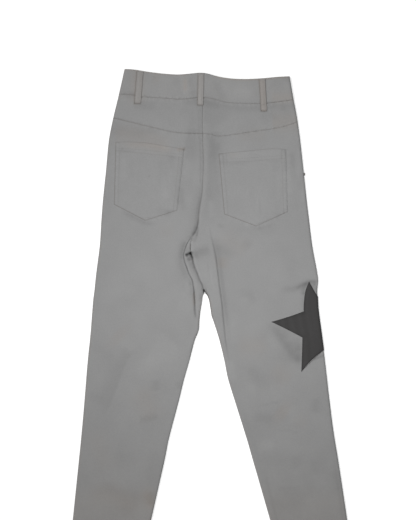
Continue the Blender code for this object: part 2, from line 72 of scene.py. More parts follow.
# How far the cloth turns down at the centre seam, the drop from which that fades, and over what length.
SEAM_TURNS = {BACK: (math.radians(50), 330, 45), FRONT: (math.pi / 2, 436, 28)}
HEM_DROP = 1020.0
HEM_DEPTH = 20.0
HEM_SLANT = 20.0
HEM_SLANT_START = 800.0
SEAT_START = 148.0

# Columns: drop, x on the left leg, x on the right leg.
OUTSEAM = np.array([
    (-30, -164.0, 171.5), (-10, -168.2, 175.5), (50, -181.6, 185.7), (92, -191.8, 193.6),
    (139, -201.0, 200.2), (202, -207.1, 207.2), (265, -213.6, 214.0), (307, -216.9, 219.0),
    (350, -219.4, 224.2), (370, -221.3, 227.2), (412, -226.9, 235.1), (433, -229.3, 237.9),
    (454, -231.4, 236.2), (472, -233.8, 236.9), (496, -235.8, 238.4), (550, -240.1, 245.6),
    (601, -245.4, 252.2), (685, -252.3, 261.9), (750, -258.0, 270.2), (811, -264.1, 280.2),
    (935, -276.9, 298.8), (1045, -288.0, 315.0),
])
INSEAM = np.array([
    (460, -0.8, 1.0), (464, -3.4, 4.5), (475, -5.1, 8.9), (484, -6.5, 10.5),
    (497, -8.7, 12.6), (507, -10.0, 14.0), (517, -10.9, 17.5), (538, -12.6, 24.5),
    (559, -20.7, 30.8), (601, -31.8, 41.1), (625, -38.6, 45.6), (643, -43.7, 49.7),
    (685, -53.9, 62.7), (769, -75.9, 89.1), (805, -82.9, 99.4), (853, -93.7, 113.3),
    (935, -112.2, 136.9), (1045, -138.0, 169.0),
])
# Columns: drop, x. The seat seam, and the fly and crotch seam of the front.
CENTRE_BACK = np.array([
    (-30, -3.4), (122, -3.9), (190, -2.2), (220, -3.5), (246, -5.0),
    (260, -6.9), (274, -10.3), (288, -12.1), (302, -13.0), (316, -14.7),
    (326, -17.4), (336, -22.6), (349, -28.4), (368, -30.5), (386, -26.6),
    (403, -22.0), (424, -13.8), (444, -5.4), (453, -3.0),
])
CENTRE_FRONT = np.array([(-30, 6.0), (195, 6.0), (210, 3.5), (225, -1.5), (240, -3.0), (440, -3.0)])
INNER = {
    layer: np.vstack([centre[:, [0, 1, 1]], INSEAM])
    for layer, centre in ((BACK, CENTRE_BACK), (FRONT, CENTRE_FRONT))
}

# Columns: drop, top of the back layer, underside of the front layer on the left and on the right.
LOFT = np.array([
    (60, 7.2, 2.1, 2.1), (97, 6.8, 2.1, 2.1), (120, 6.5, 1.4, 1.4), (232, 6.2, 1.4, 1.4),
    (265, 6.2, 0.0, 0.0), (403, 5.9, 0.0, 0.0), (424, 5.8, 0.0, 1.1), (643, 5.2, 0.0, 1.1),
    (685, 5.1, 0.0, 0.0), (935, 4.8, 0.0, 0.0),
])
BAND_TOP = 8.4

# Columns: drop, x of the fold, how far the cloth between it and the centre stands above the rest.
FOLD_WIDTH = {LEFT: 2.6, RIGHT: 4.4}
FOLD_CLEAR = {LEFT: 2.4, RIGHT: 8.0}
FOLDS = {
    LEFT: np.array([
        (328, -19.2, 0.0), (336, -23.2, -0.5), (343, -29.0, -1.0), (351, -34.0, -1.5),
        (359, -38.2, -2.0), (367, -41.2, -2.3), (374, -43.0, -2.4), (378, -45.0, -2.4),
        (384, -44.4, -2.4), (396, -41.8, -2.4), (408, -37.4, -2.4), (420, -33.2, -2.4),
        (432, -26.6, -2.4), (444, -24.5, -2.4), (456, -22.9, -2.4), (468, -21.9, -2.2),
        (480, -20.9, -1.8), (492, -20.2, -1.2), (508, -18.6, 0.0),
    ]),
    RIGHT: np.array([
        (317, 8.4, 0.0), (338, 12.9, 0.6), (363, 18.7, 1.6), (395, 24.6, 2.2), (439, 29.9, 2.2),
        (479, 35.5, 2.2), (517, 39.1, 2.0), (563, 43.8, 1.3), (613, 53.4, 0.0),
    ]),
}

# Seams that cross the body. Columns: x, drop.
BACK_RIM = np.array([
    (-168, -9.8), (-149, -8.6), (-115, -3.4), (-82, 0.4), (-55, 1.8),
    (-31, 0.0), (-10, -1.9), (5, -0.4), (19, 3.6), (36, 7.6),
    (58, 10.4), (86, 11.3), (120, 9.7), (153, 6.7), (178, 5.4),
])
BACK_WAIST = np.array([
    (-182, 43.0), (-150, 44.6), (-132, 48.0), (-120, 49.3), (-90, 51.2),
    (-55, 53.6), (-31, 52.2), (-12, 49.4), (8, 50.8), (27, 55.6),
    (45, 60.0), (75, 62.2), (105, 62.8), (135, 61.2), (160, 58.2),
    (188, 54.4),
])
YOKE_SEAM = np.array([
    (-194, 92.0), (-161, 100.0), (-111, 112.2), (-75, 120.6), (-50, 124.2),
    (-5, 125.4), (13, 126.8), (26, 130.6), (50, 129.0), (101, 121.4),
    (151, 114.0), (178, 107.2), (196, 99.6),
])
FRONT_RIM = np.array([
    (-168, -9.4), (-120, 2.0), (-60, 14.0), (0, 20.0), (60, 22.0),
    (120, 17.0), (178, 5.8),
])
FRONT_WAIST = np.array([
    (-182, 44.5), (-120, 55.0), (-60, 66.0), (0, 71.5), (60, 73.0),
    (120, 68.0), (188, 54.4),
])

# Back pockets, as (x, drop): the top edge from left to right, and the lower edge from corner to corner.
Pocket = namedtuple("Pocket", "upper lower")
POCKETS = {
    LEFT: Pocket(
        [(-186.8, 143.0), (-158.0, 142.6), (-126.0, 144.0), (-43.4, 158.0)],
        [(-190.3, 274.2), (-125.0, 308.0), (-58.2, 286.8)],
    ),
    RIGHT: Pocket(
        [(29.2, 167.6), (92.0, 161.4), (140.0, 156.8), (170.0, 158.0)],
        [(40.8, 294.4), (107.6, 320.0), (173.8, 289.6)],
    ),
}
POCKET_WALL = 1.0
POCKET_EDGE_WALL = 0.6
POCKET_GAP = 0.08
POCKET_INNER_ROW = 9.0
POCKET_HEM_ROWS = (15.5, 23.0)
BAR_TACK = 7.0

# The tones are the share of the cloth's tone at a loop's two ends.
Loop = namedtuple("Loop", "name layer width x_top x_bottom tone_top tone_bottom warmth")
LOOP_WALL = 1.1
LOOP_CROWN = 0.35
LOOP_GAP = 0.1
LOOP_BELOW_SEAM = 16.9
LOOP_RIM_INSET = 1.2
LOOPS = (
    Loop("belt_loop_back_left", BACK, 13.7, -135.6, -141.0, 1.02, 1.02, 0.38),
    Loop("belt_loop_back_centre", BACK, 12.5, -7.9, -9.3, 1.06, 1.06, 0.32),
    Loop("belt_loop_back_right", BACK, 13.0, 120.1, 124.2, 1.04, 1.0, 0.6),
    Loop("belt_loop_front_left", FRONT, 13.5, -70.0, -71.0, 1.03, 1.03, 0.35),
    Loop("belt_loop_front_right", FRONT, 13.5, 74.0, 75.0, 1.03, 1.03, 0.35),
)

# The star, laid out as if the leg were slit open along the outseam; it bends round it within STAR_BEND.
STAR_X = 241.5
STAR_DROP = 531.0
STAR_TIP = 98.5
STAR_NOTCH = 44.0
STAR_TURN = math.radians(-13.5)
STAR_WALL = 0.8
STAR_BEND = 0.1
STAR_EDGE_POINTS = 22
# How the worn star strays from a true one. Columns: x and drop of a corner, and how far the edge after it
# bows out.
STAR_STRAYS = np.array([
    (0.0, 0.6, 2.0),
    (-6.0, 6.0, 0.0),
    (0.0, 0.0, 0.0),
    (0.0, 0.0, 0.0),
    (0.0, 0.0, 0.0),
    (0.8, 3.9, -3.0),
    (-1.3, 3.2, 0.0),
    (0.8, -0.9, -0.5),
    (-3.9, -3.0, -1.0),
    (-0.4, -4.3, 2.3),
])

# Front pocket mouths, the fly and the metal.
MOUTH_WIDTH = 76.0
MOUTH_END = 202.0
MOUTH_LAST_TURN = math.radians(84)
FACING_RECESS = 0.8
BUTTON_X, BUTTON_DROP, BUTTON_RADIUS, BUTTON_HEIGHT = -4.0, 46.0, 8.5, 1.8
RIVET_RADIUS, RIVET_HEIGHT, RIVET_INSET = 4.0, 1.0, 7.0
LATHE_SIDES = 40
SIDE_RIVET_DROP, SIDE_RIVET_RADIUS, SIDE_RIVET_HEIGHT = 210.5, 3.4, 1.8

# A crease runs along its path, as (x, drop) points. `left` and `right` are its widths on the two sides of a
# path that runs down a leg; on one that runs to the wearer's right, `left` is the lower side. `ends` are
# the shares of its length over which it fades in and out, and `ripple` is the spacing of its puckers.
Crease = namedtuple("Crease", "path height left right ends ripple", defaults=((0.3, 0.3), 0.0))


def creases(*rows):
    return tuple(Crease(*row) for row in rows)


BACK_CREASES = creases(
    # Beside the seat seam: a long hollow on its left, a ridge and a soft crease on its right.
    ([(-24, 70), (-22, 150), (-22, 215), (-27, 262)], -0.7, 12, 12, (0.15, 0.3)),
    ([(-2.2, 225), (-5.1, 252), (-9.6, 274), (-13, 300), (-16.3, 320), (-24, 338), (-28, 350)], -1.7, 11,
     3, (0.3, 0.12)),
    ([(5, 118), (6, 190), (3, 250), (-2, 300)], 0.6, 5, 8, (0.1, 0.2)),
    ([(19, 126), (25, 170), (32, 225), (38, 275)], -0.8, 8, 12, (0.1, 0.4)),
    # Between the thighs.
    ([(-18, 326), (-27, 340), (-37, 356), (-44, 373), (-45, 380)], -0.7, 8, 2, (0.2, 0.1)),
    ([(-38, 380), (-33, 378), (-27.5, 374.6)], -2.0, 3.2, 3.2, (0.15, 0.1)),
    ([(-22, 384), (-11, 374.5), (2, 371), (14, 369.5)], -0.9, 6, 5, (0.2, 0.3)),
    ([(-25.5, 392), (-20, 408), (-13, 424), (-6.5, 442), (-3, 453)], -1.5, 6, 1.5, (0.1, 0.0)),
    ([(6, 385), (11, 425), (19, 462)], -0.25, 2, 3),
    ([(31, 360), (38, 425), (47, 500), (60, 600)], -0.7, 3, 12, (0.2, 0.3)),
    ([(-52, 352), (-54, 385), (-44, 425), (-34, 470)], -0.5, 9, 6),
    ([(-22, 452), (-21, 478), (-20, 498), (-18.5, 512)], -1.2, 2.5, 2.5, (0.2, 0.3)),
    # Across the seat and under the pockets.
    ([(-168, 290), (-146, 302), (-124, 313), (-98, 317)], -0.9, 5, 3),
    ([(-60, 128), (-48, 150), (-42, 190), (-46, 235)], -0.5, 8, 10),
    ([(196, 150), (190, 190), (199, 240), (205, 290)], -0.6, 8, 5),
    ([(30, 338), (60, 330), (95, 346), (130, 342)], -0.4, 9, 6),
    ([(-205, 330), (-165, 345), (-120, 338), (-80, 352)], -0.35, 11, 7),
    ([(55, 395), (100, 402), (150, 392)], -0.35, 9, 12),
    # On the pockets.
    ([(-97, 172), (-99, 205), (-96, 240)], 0.45, 8, 6),
    ([(-79, 168), (-76, 210), (-82, 262)], -0.4, 6, 7),
    ([(44, 180), (60, 192), (90, 196), (120, 190)], -0.4, 7, 5),
    ([(100, 232), (105, 262), (104, 300)], -0.3, 5, 8),
    ([(146, 190), (150, 230), (145, 270)], -0.3, 6, 5),
    # Waist.
    ([(-44, 4), (-42, 24), (-46, 52)], -0.6, 9, 7, (0.1, 0.1)),
    ([(-80, 0), (-78, 25), (-84, 50)], 0.35, 12, 12, (0.1, 0.1)),
    ([(24, 20), (40, 36), (58, 58)], -0.5, 8, 8, (0.2, 0.1)),
    ([(20, 66), (42, 74), (64, 72)], -0.5, 8, 4),
    ([(138, 74), (160, 84), (180, 98)], -0.5, 8, 6),
    ([(-118, 62), (-95, 78), (-70, 82)], -0.35, 8, 8),
    # Pull folds round the star.
    ([(150, 462), (170, 458), (186, 452), (200, 446), (212, 438)], -0.7, 8, 5, (0.5, 0.1)),
    ([(212, 439), (221, 437), (229, 438), (236, 443)], -0.8, 3, 3, (0.2, 0.1)),
    ([(140, 528), (158, 548), (172, 570), (186, 590), (200, 606)], -0.9, 7, 11, (0.2, 0.3)),
    ([(165, 520), (178, 545), (190, 562)], -0.5, 7, 7),
    ([(226, 600), (236, 597), (250, 590)], -0.6, 3, 4),
    ([(132, 478), (112, 470), (92, 455)], -0.4, 6, 6),
    # Down the legs.
    ([(-190, 450), (-150, 470), (-110, 462)], -0.35, 10, 14),
    ([(-85, 520), (-110, 575), (-140, 640)], -0.4, 10, 12),
    ([(-215, 600), (-180, 618), (-150, 612)], -0.35, 10, 12),
    ([(-150, 700), (-175, 760), (-205, 840)], 0.4, 14, 12),
    ([(-110, 800), (-150, 822), (-200, 818)], -0.35, 12, 12),
    ([(-130, 900), (-170, 925), (-230, 918)], -0.4, 12, 14),
    ([(90, 600), (115, 640), (128, 700)], -0.4, 10, 12),
    ([(140, 640), (180, 652), (225, 640)], -0.35, 12, 12),
    ([(120, 730), (165, 748), (215, 744)], -0.4, 11, 12),
    ([(190, 780), (200, 840), (225, 900)], 0.35, 12, 14),
    ([(150, 870), (200, 890), (262, 880)], -0.4, 12, 12),
    ([(160, 960), (205, 972), (260, 958)], -0.35, 10, 12),
    ([(-140, 980), (-190, 968), (-240, 976)], -0.35, 10, 12),
)
FRONT_CREASES = creases(
    ([(-170, 250), (-120, 275), (-60, 280), (-12, 262)], 0.7, 8, 10),
    ([(180, 255), (120, 282), (60, 285), (8, 262)], 0.6, 8, 10),
    ([(-150, 330), (-90, 345), (-30, 330)], 0.6, 8, 9),
    ([(160, 340), (100, 352), (40, 335)], 0.7, 9, 8),
    ([(-25, 400), (-70, 440), (-120, 455)], 0.6, 7, 9),
    ([(20, 410), (70, 450), (120, 470)], 0.6, 8, 9),
    ([(-60, 520), (-110, 560), (-170, 570)], 0.5, 9, 11),
    ([(60, 560), (110, 590), (170, 585)], 0.5, 9, 11),
    ([(-100, 680), (-160, 700), (-220, 690)], 0.6, 9, 10),
    ([(110, 690), (170, 712), (230, 700)], 0.6, 10, 9),
    ([(-130, 840), (-190, 862), (-240, 850)], 0.5, 10, 12),
    ([(150, 850), (210, 870), (260, 858)], 0.5, 10, 12),
    ([(-70, 110), (-90, 150), (-95, 200)], 0.5, 8, 9),
    ([(80, 115), (92, 160), (90, 205)], 0.5, 9, 8),
)
# Seams pull the cloth in small puckers; their paths are worked out from the seams.
SEAM_POINTS = 14
PUCKER_SPACING = 13.0
PUCKER_WIDTH = 5.0
PUCKER_HEIGHT = 0.3

# Long swells of the laid cloth. Columns: wavelength, direction in degrees, height, phase.
SWELLS = np.array([
    (210.0, 20.0, 0.16, 0.4),
    (137.0, 105.0, 0.13, 2.1),
    (88.0, 60.0, 0.09, 4.0),
    (61.0, 150.0, 0.06, 1.2),
])

# How the cloth's tone and warmth vary down the garment. Columns: drop, share of the dye's tone, warmth. The
# tone is painted light and shade: darker from below the waistband over the yokes and the seat, lighter down
# the thighs.
PAINTED_LIGHT_AND_WARMTH = np.array([
    (50, 1.0, 0.05),
    (62, 0.965, 0.0),
    (330, 0.965, 0.0),
    (430, 1.0, 0.0),
    (600, 1.015, 0.02),
    (760, 1.003, 0.03),
    (860, 1.009, 0.1),
    (900, 1.012, 0.25),
])

# Painted shade (below 0) and painted highlights (above 0) on the back: the shading of its creases, folds and
# hollows, the dark of the hollow between the thighs, and the shadows beside the pockets, the loops and the
# star, painted into the cloth's tone; a few are small dark spots and uneven tone of the cloth.
BACK_PAINTED_SHADING_AND_SPOTS = creases(
    # Waistband.
    ([(-50, 0), (-45, 22), (-38, 46)], 0.07, 7, 7, (0.0, 0.2)),
    ([(-62, 8), (-58, 24)], -0.04, 7, 7),
    ([(-31, 8), (-30, 28)], -0.045, 5, 5),
    ([(52, 32), (80, 36), (110, 40)], 0.07, 13, 13),
    ([(14, 16), (26, 32), (34, 50)], -0.055, 8, 8, (0.1, 0.0)),
    ([(-168, 42), (-148, 46)], -0.07, 8, 9, (0.0, 0.1)),
    ([(-27, 34), (-22, 50)], -0.07, 6, 6, (0.2, 0.0)),
    ([(-128, 45), (-118, 47), (-90, 49), (-55, 51.2), (-25, 48.6)], -0.1, 1.6, 1.8, (0.05, 0.1), 6.5),
    # Yokes.
    ([(-52, 61), (-20, 58), (8, 60), (30, 66), (60, 71), (110, 72), (150, 68), (190, 66)], -0.08, 9, 6,
     (0.1, 0.0)),
    ([(-152, 64), (-98, 69)], -0.07, 10, 10, (0.1, 0.3)),
    ([(140, 14), (154, 22), (170, 24)], -0.05, 14, 12),
    ([(164, 76), (174, 86)], -0.055, 8, 8, (0.0, 0.0)),
    ([(138, 88), (146, 92)], -0.05, 6, 6, (0.0, 0.0)),
    ([(28, 16), (36, 34)], -0.035, 6, 6),
    ([(162, 6), (182, 14)], -0.07, 7, 7),
    ([(126, 76), (128, 110)], -0.04, 10, 10),
    ([(-60, 70), (-30, 88), (-22, 120)], -0.05, 13, 11),
    ([(-126, 118), (-90, 122)], -0.05, 9, 9),
    ([(-154, 42), (-146, 46)], -0.06, 5, 5, (0.0, 0.0)),
    ([(-198, 118), (-155, 120), (-105, 128)], -0.075, 15, 15, (0.0, 0.3)),
    # Seat.
    ([(3, 60), (3, 120), (8, 160), (10, 200), (8, 240), (4, 280), (-4, 322)], -0.09, 26, 28, (0.0, 0.15)),
    ([(-27, 112), (-27, 196)], -0.07, 14, 14, (0.1, 0.35)),
    ([(19, 120), (21, 160), (25, 195)], -0.06, 10, 19, (0.05, 0.4)),
    ([(28, 78), (40, 106)], -0.045, 16, 16),
    ([(1, 98), (3, 132)], 0.05, 4, 6, (0.3, 0.3)),
    ([(8, 256), (13, 286), (14, 306)], 0.07, 8, 8),
    ([(-52, 264), (-42, 290)], -0.065, 8, 8),
    ([(2, 130), (4, 200), (0, 260), (-6, 310)], 0.02, 4, 6),
    ([(-2.8, 212), (-4.4, 245), (-7.2, 263), (-10.8, 284), (-13.2, 306), (-15.2, 318), (-19, 330),
     (-24, 341)], -0.22, 5.5, 1.6, (0.5, 0.12)),
    ([(-13.4, 298), (-14, 311), (-15.3, 322), (-16, 331), (-17.5, 340), (-18.5, 352)], -0.2, 2.6, 3,
     (0.25, 0.25)),
    ([(-17, 317), (-18, 324), (-19, 329), (-21, 333), (-24, 337.5), (-28.5, 341.5)], -0.17, 5, 1.8,
     (0.2, 0.2)),
    ([(-14.5, 318), (-15, 333), (-17.5, 342)], -0.1, 1.5, 1.5, (0.2, 0.2)),
    ([(-23, 338), (-21.5, 357)], -0.12, 4, 4, (0.15, 0.35)),
    ([(-27, 342), (-26, 353)], -0.09, 2, 2),
    ([(-19, 329), (-22, 335), (-27, 340)], -0.12, 3, 3),
    ([(-12, 70), (-12, 127), (-10, 150), (-9.3, 211), (-10, 232)], -0.06, 1.4, 1.4, (0.05, 0.1)),
    ([(-20, 330), (-24, 337), (-29, 343), (-34, 351), (-38.5, 359), (-41.5, 367), (-43, 374),
     (-44.5, 384), (-42.5, 396), (-38, 408), (-33.6, 420), (-27.2, 432), (-25.2, 441)], -0.08, 1.6, 1.6,
     (0.1, 0.1)),
    ([(-36, 338), (-31, 345), (-22, 346)], -0.07, 6, 6),
    # Between the thighs.
    ([(-38, 342), (-45, 358), (-49, 374), (-50, 388), (-46, 404), (-41, 418), (-34, 434), (-29, 450)],
     -0.14, 8, 4.5, (0.15, 0.35)),
    ([(-36, 350), (-41, 358), (-44.5, 366), (-47, 374), (-48, 384), (-47, 392)], -0.12, 4, 2, (0.15, 0.2)),
    ([(-36, 359), (-38, 374)], -0.09, 4.5, 4.5, (0.2, 0.1)),
    ([(-38, 388), (-33, 392), (-29.5, 402), (-28, 416)], -0.12, 3.5, 3, (0.1, 0.4)),
    ([(-29, 432), (-28.5, 450), (-27, 476)], -0.09, 5, 3),
    ([(-30.4, 354), (-29.8, 360), (-30.2, 370)], -0.2, 1.1, 1.1, (0.2, 0.0)),
    ([(-29.6, 358), (-29.9, 361)], -0.27, 1.3, 1.3, (0.0, 0.0)),
    ([(-30.4, 365), (-30.4, 368)], -0.33, 1.3, 1.3, (0.0, 0.0)),
    ([(-42, 380.2), (-38, 379), (-33.5, 377.2), (-29.8, 375.2)], -0.78, 4.2, 2.8, (0.15, 0.0)),
    ([(-39, 388), (-34, 389), (-30, 389)], -0.15, 3, 3),
    ([(-30.5, 372), (-29.5, 378), (-28, 382), (-26.5, 385), (-26, 389)], -0.3, 3, 1.8, (0.1, 0.3)),
    ([(-28.6, 377), (-27.2, 381), (-25.6, 384), (-25.2, 388), (-24.9, 392), (-24.4, 396), (-23.6, 400),
     (-22.3, 405), (-20.4, 410)], -0.42, 2.6, 1.9, (0.05, 0.12)),
    ([(-32, 382), (-29.5, 388), (-28, 393)], -0.28, 5, 4, (0.15, 0.35)),
    ([(-21.8, 403), (-19.7, 411), (-17.5, 415), (-14.2, 423), (-11.2, 432), (-8.9, 436), (-6.5, 440),
     (-4, 448), (-3, 453), (-1.5, 459)], -0.33, 3.2, 1.6, (0.1, 0.0)),
    ([(-2.4, 450), (-1.5, 455), (-0.4, 461)], -0.62, 1.5, 2, (0.35, 0.0)),
    ([(-39, 396), (-36.5, 401), (-34, 408), (-30.5, 417), (-27.5, 424), (-25.5, 429), (-23, 436)], 0.045,
     1.4, 1.4, (0.1, 0.2)),
    ([(-33, 428), (-31, 436), (-30, 446)], -0.07, 3, 3),
    ([(-6, 432), (-3, 440), (0, 447), (2, 452)], -0.09, 2.5, 2.5),
    ([(-7.5, 456), (-8.5, 463), (-9, 470), (-10, 480)], -0.14, 3, 3),
    ([(-1.5, 450), (0.6, 458), (3.4, 464)], -0.22, 1.5, 3, (0.3, 0.0)),
    ([(3, 449), (3.4, 455), (4.6, 460), (6, 464), (7.5, 468)], -0.2, 1.5, 1.5, (0.2, 0.0)),
    ([(-23.8, 442), (-22, 462), (-21, 480), (-20.2, 495), (-19.2, 506), (-18.8, 516)], -0.26, 2.6, 2.4,
     (0.2, 0.2)),
    ([(-23, 386), (-12, 377), (0, 372), (16, 370)], -0.15, 10, 11, (0.12, 0.2)),
    ([(17, 336), (22, 350), (30, 366), (50, 376), (80, 384)], -0.06, 10, 10),
    ([(17, 345), (23, 372), (28.2, 400), (31.8, 425), (36.8, 460), (42.2, 500), (44.4, 545)], -0.085, 2,
     9, (0.15, 0.3)),
    ([(26, 352), (38, 400), (46, 460), (54, 530)], -0.04, 14, 20, (0.1, 0.3)),
    ([(0, 400), (14, 445), (28, 500)], 0.02, 10, 8),
    # Pockets, and the cloth beside and under them.
    ([(-176, 286), (-150, 300), (-126, 312), (-98, 315)], -0.1, 5, 4, (0.15, 0.2)),
    ([(108, 326), (126, 321), (150, 313)], -0.07, 5, 3, (0.2, 0.3)),
    ([(60, 312), (104, 332), (160, 322)], -0.035, 12, 8, (0.2, 0.2)),
    ([(31, 318), (37, 320)], -0.07, 4, 4, (0.0, 0.0)),
    ([(-102, 278), (-86, 290), (-66, 292)], -0.07, 9, 9),
    ([(-84, 206), (-84, 240), (-80, 268)], 0.065, 8, 8),
    ([(-79, 160), (-72, 182), (-66, 210)], -0.065, 6, 6),
    ([(-170, 168), (-168, 232)], 0.035, 6, 6),
    ([(-154, 180), (-153, 222)], -0.03, 5, 5),
    ([(-48, 236), (-49, 276)], -0.09, 6, 5, (0.2, 0.3)),
    ([(-43.4, 156), (-44, 160)], -0.24, 2, 2, (0.0, 0.0)),
    ([(-57.4, 263), (-55.6, 272)], -0.1, 2, 2, (0.0, 0.0)),
    ([(-78, 173), (-48, 181)], -0.06, 2, 2),
    ([(-185, 162), (-145, 163)], -0.04, 3, 3),
    ([(-140, 149), (-100, 152), (-60, 158)], 0.04, 3, 3),
    ([(44, 190), (70, 188), (98, 186)], -0.05, 4, 4),
    ([(128, 184), (166, 182)], -0.04, 3, 3),
    ([(92, 315), (108, 324), (124, 320)], -0.06, 5, 4),
    ([(-116.5, 214), (-116.5, 215)], -0.22, 1.3, 1.3, (0.0, 0.0)),
    ([(-173, 156), (-173, 158)], -0.18, 1.6, 1.6, (0.0, 0.0)),
    ([(170, 196), (172, 240), (168, 288)], 0.06, 7, 7, (0.2, 0.1)),
    ([(183, 160), (186, 200)], -0.05, 6, 6),
    ([(200, 205), (201, 250)], -0.08, 5, 6),
    ([(146, 178), (150, 210)], -0.04, 8, 8),
    ([(160.4, 159), (160.6, 180)], -0.1, 1.2, 1.2, (0.0, 0.0)),
    ([(38, 170), (40, 195)], -0.07, 1.2, 1.2, (0.0, 0.0)),
    ([(45, 170), (46.5, 195)], -0.06, 1.2, 1.2, (0.0, 0.0)),
    ([(114, 252), (117, 302)], -0.06, 1.5, 1.5),
    ([(33, 183), (33.4, 189)], -0.1, 1.2, 1.2, (0.0, 0.0)),
    ([(-68, 150), (-64, 190)], -0.05, 6, 6),
    ([(-38, 126), (-37, 186)], -0.05, 5, 5),
    ([(28, 140), (28, 165)], -0.05, 6, 6),
    ([(-84, 290), (-62, 291)], -0.05, 7, 7),
    ([(168, 278), (168, 296)], 0.04, 9, 9),
    # Thighs and legs.
    ([(78, 350), (98, 366)], -0.06, 14, 12),
    ([(-215, 455), (-130, 452)], 0.035, 14, 14),
    ([(88, 452), (97, 468), (106, 486)], -0.04, 8, 8),
    ([(-62, 560), (-100, 600), (-150, 606)], 0.06, 28, 28, (0.1, 0.2)),
    ([(50, 596), (62, 650)], 0.08, 12, 9, (0.2, 0.3)),
    ([(-210, 868), (-170, 880), (-118, 898)], -0.055, 14, 14),
    ([(135, 898), (180, 905), (225, 900)], -0.045, 16, 26),
    ([(110, 772), (190, 784), (275, 780)], 0.035, 18, 18),
    ([(-190, 655), (-215, 668)], -0.03, 14, 14),
    ([(-150, 582), (-163, 600), (-176, 630), (-186, 660), (-198, 690), (-208, 712), (-215, 735)], -0.07,
     26, 2, (0.1, 0.4)),
    ([(-190, 566), (-160, 568), (-145, 582)], 0.05, 12, 12),
    ([(-240, 566), (-215, 585), (-185, 594)], -0.05, 16, 16),
    ([(-248, 672), (-205, 686)], -0.05, 12, 14),
    ([(-103, 640), (-103, 666)], -0.08, 9, 9, (0.1, 0.1)),
    ([(-57, 643), (-50, 662)], -0.07, 9, 9),
    ([(-138, 728), (-120, 725), (-97, 717)], -0.09, 6, 9, (0.1, 0.1)),
    ([(-205, 852), (-203, 884)], -0.06, 16, 16),
    ([(-102, 780), (-110, 820), (-120, 880)], -0.04, 16, 16),
    ([(-112, 872), (-116, 910)], -0.08, 11, 11),
    ([(123, 825), (133, 865), (142, 900), (150, 930), (160, 970)], -0.06, 2.6, 2.6, (0.2, 0.2)),
    ([(268, 790), (277, 850), (286, 910), (292, 960)], -0.06, 2.6, 2.6, (0.3, 0.2)),
    ([(140, 868), (175, 866), (215, 870)], -0.045, 6, 2),
    ([(85, 618), (110, 632), (145, 652)], -0.055, 16, 14),
    ([(105, 700), (135, 692), (170, 685)], -0.06, 2.2, 2.2),
    ([(96, 716), (125, 722), (152, 726)], -0.07, 12, 12),
    ([(138, 750), (175, 749), (207, 755)], -0.06, 2.2, 2.2),
    ([(234, 676), (230, 714)], -0.08, 9, 9),
    ([(188, 796), (192, 834)], -0.06, 10, 10),
    ([(230, 806), (232, 844)], -0.05, 11, 11),
    ([(272, 824), (280, 884)], -0.06, 11, 11),
    ([(175, 694), (196, 736)], 0.05, 15, 15),
    ([(106, 780), (152, 782)], 0.06, 13, 13),
    ([(82, 656), (112, 664)], 0.04, 9, 9),
    # Round the star.
    ([(150, 462), (170, 458), (186, 452), (200, 446), (212, 440), (224, 437), (234, 438)], -0.2, 8, 6,
     (0.6, 0.05)),
    ([(140, 527), (158, 548), (172, 570), (184, 588), (198, 604), (203, 624)], -0.15, 9, 11, (0.15, 0.3)),
    ([(162, 536), (185, 552), (201, 584)], -0.08, 15, 15, (0.15, 0.1)),
    ([(176, 556), (190, 582), (195, 612)], -0.06, 13, 14, (0.2, 0.2)),
    ([(189, 452), (200, 446), (211, 439), (222, 436), (234, 437)], -0.09, 3.5, 3, (0.2, 0.0)),
    ([(216, 438), (210, 447), (207, 458), (206, 466)], -0.2, 5, 4, (0.1, 0.3)),
    ([(128, 550), (142, 562), (152, 578)], 0.03, 7, 7),
    ([(199, 560), (198, 585), (198, 608)], -0.08, 8, 7),
    ([(152, 582), (166, 594), (186, 608)], -0.07, 11, 11),
    ([(207, 456), (209, 504)], -0.1, 6, 6, (0.1, 0.1)),
    ([(226, 601), (235, 597), (243, 593.5), (252, 590)], -0.2, 2.5, 3, (0.2, 0.1)),
    ([(228, 441), (233, 449), (237, 458)], -0.1, 6, 5, (0.1, 0.1)),
    ([(168, 444), (174, 456)], -0.05, 12, 12),
    ([(140, 520), (142, 540)], -0.06, 9, 9),
    ([(180, 506), (182, 516)], 0.06, 9, 9),
    ([(78, 446), (84, 474)], -0.05, 10, 10),
)
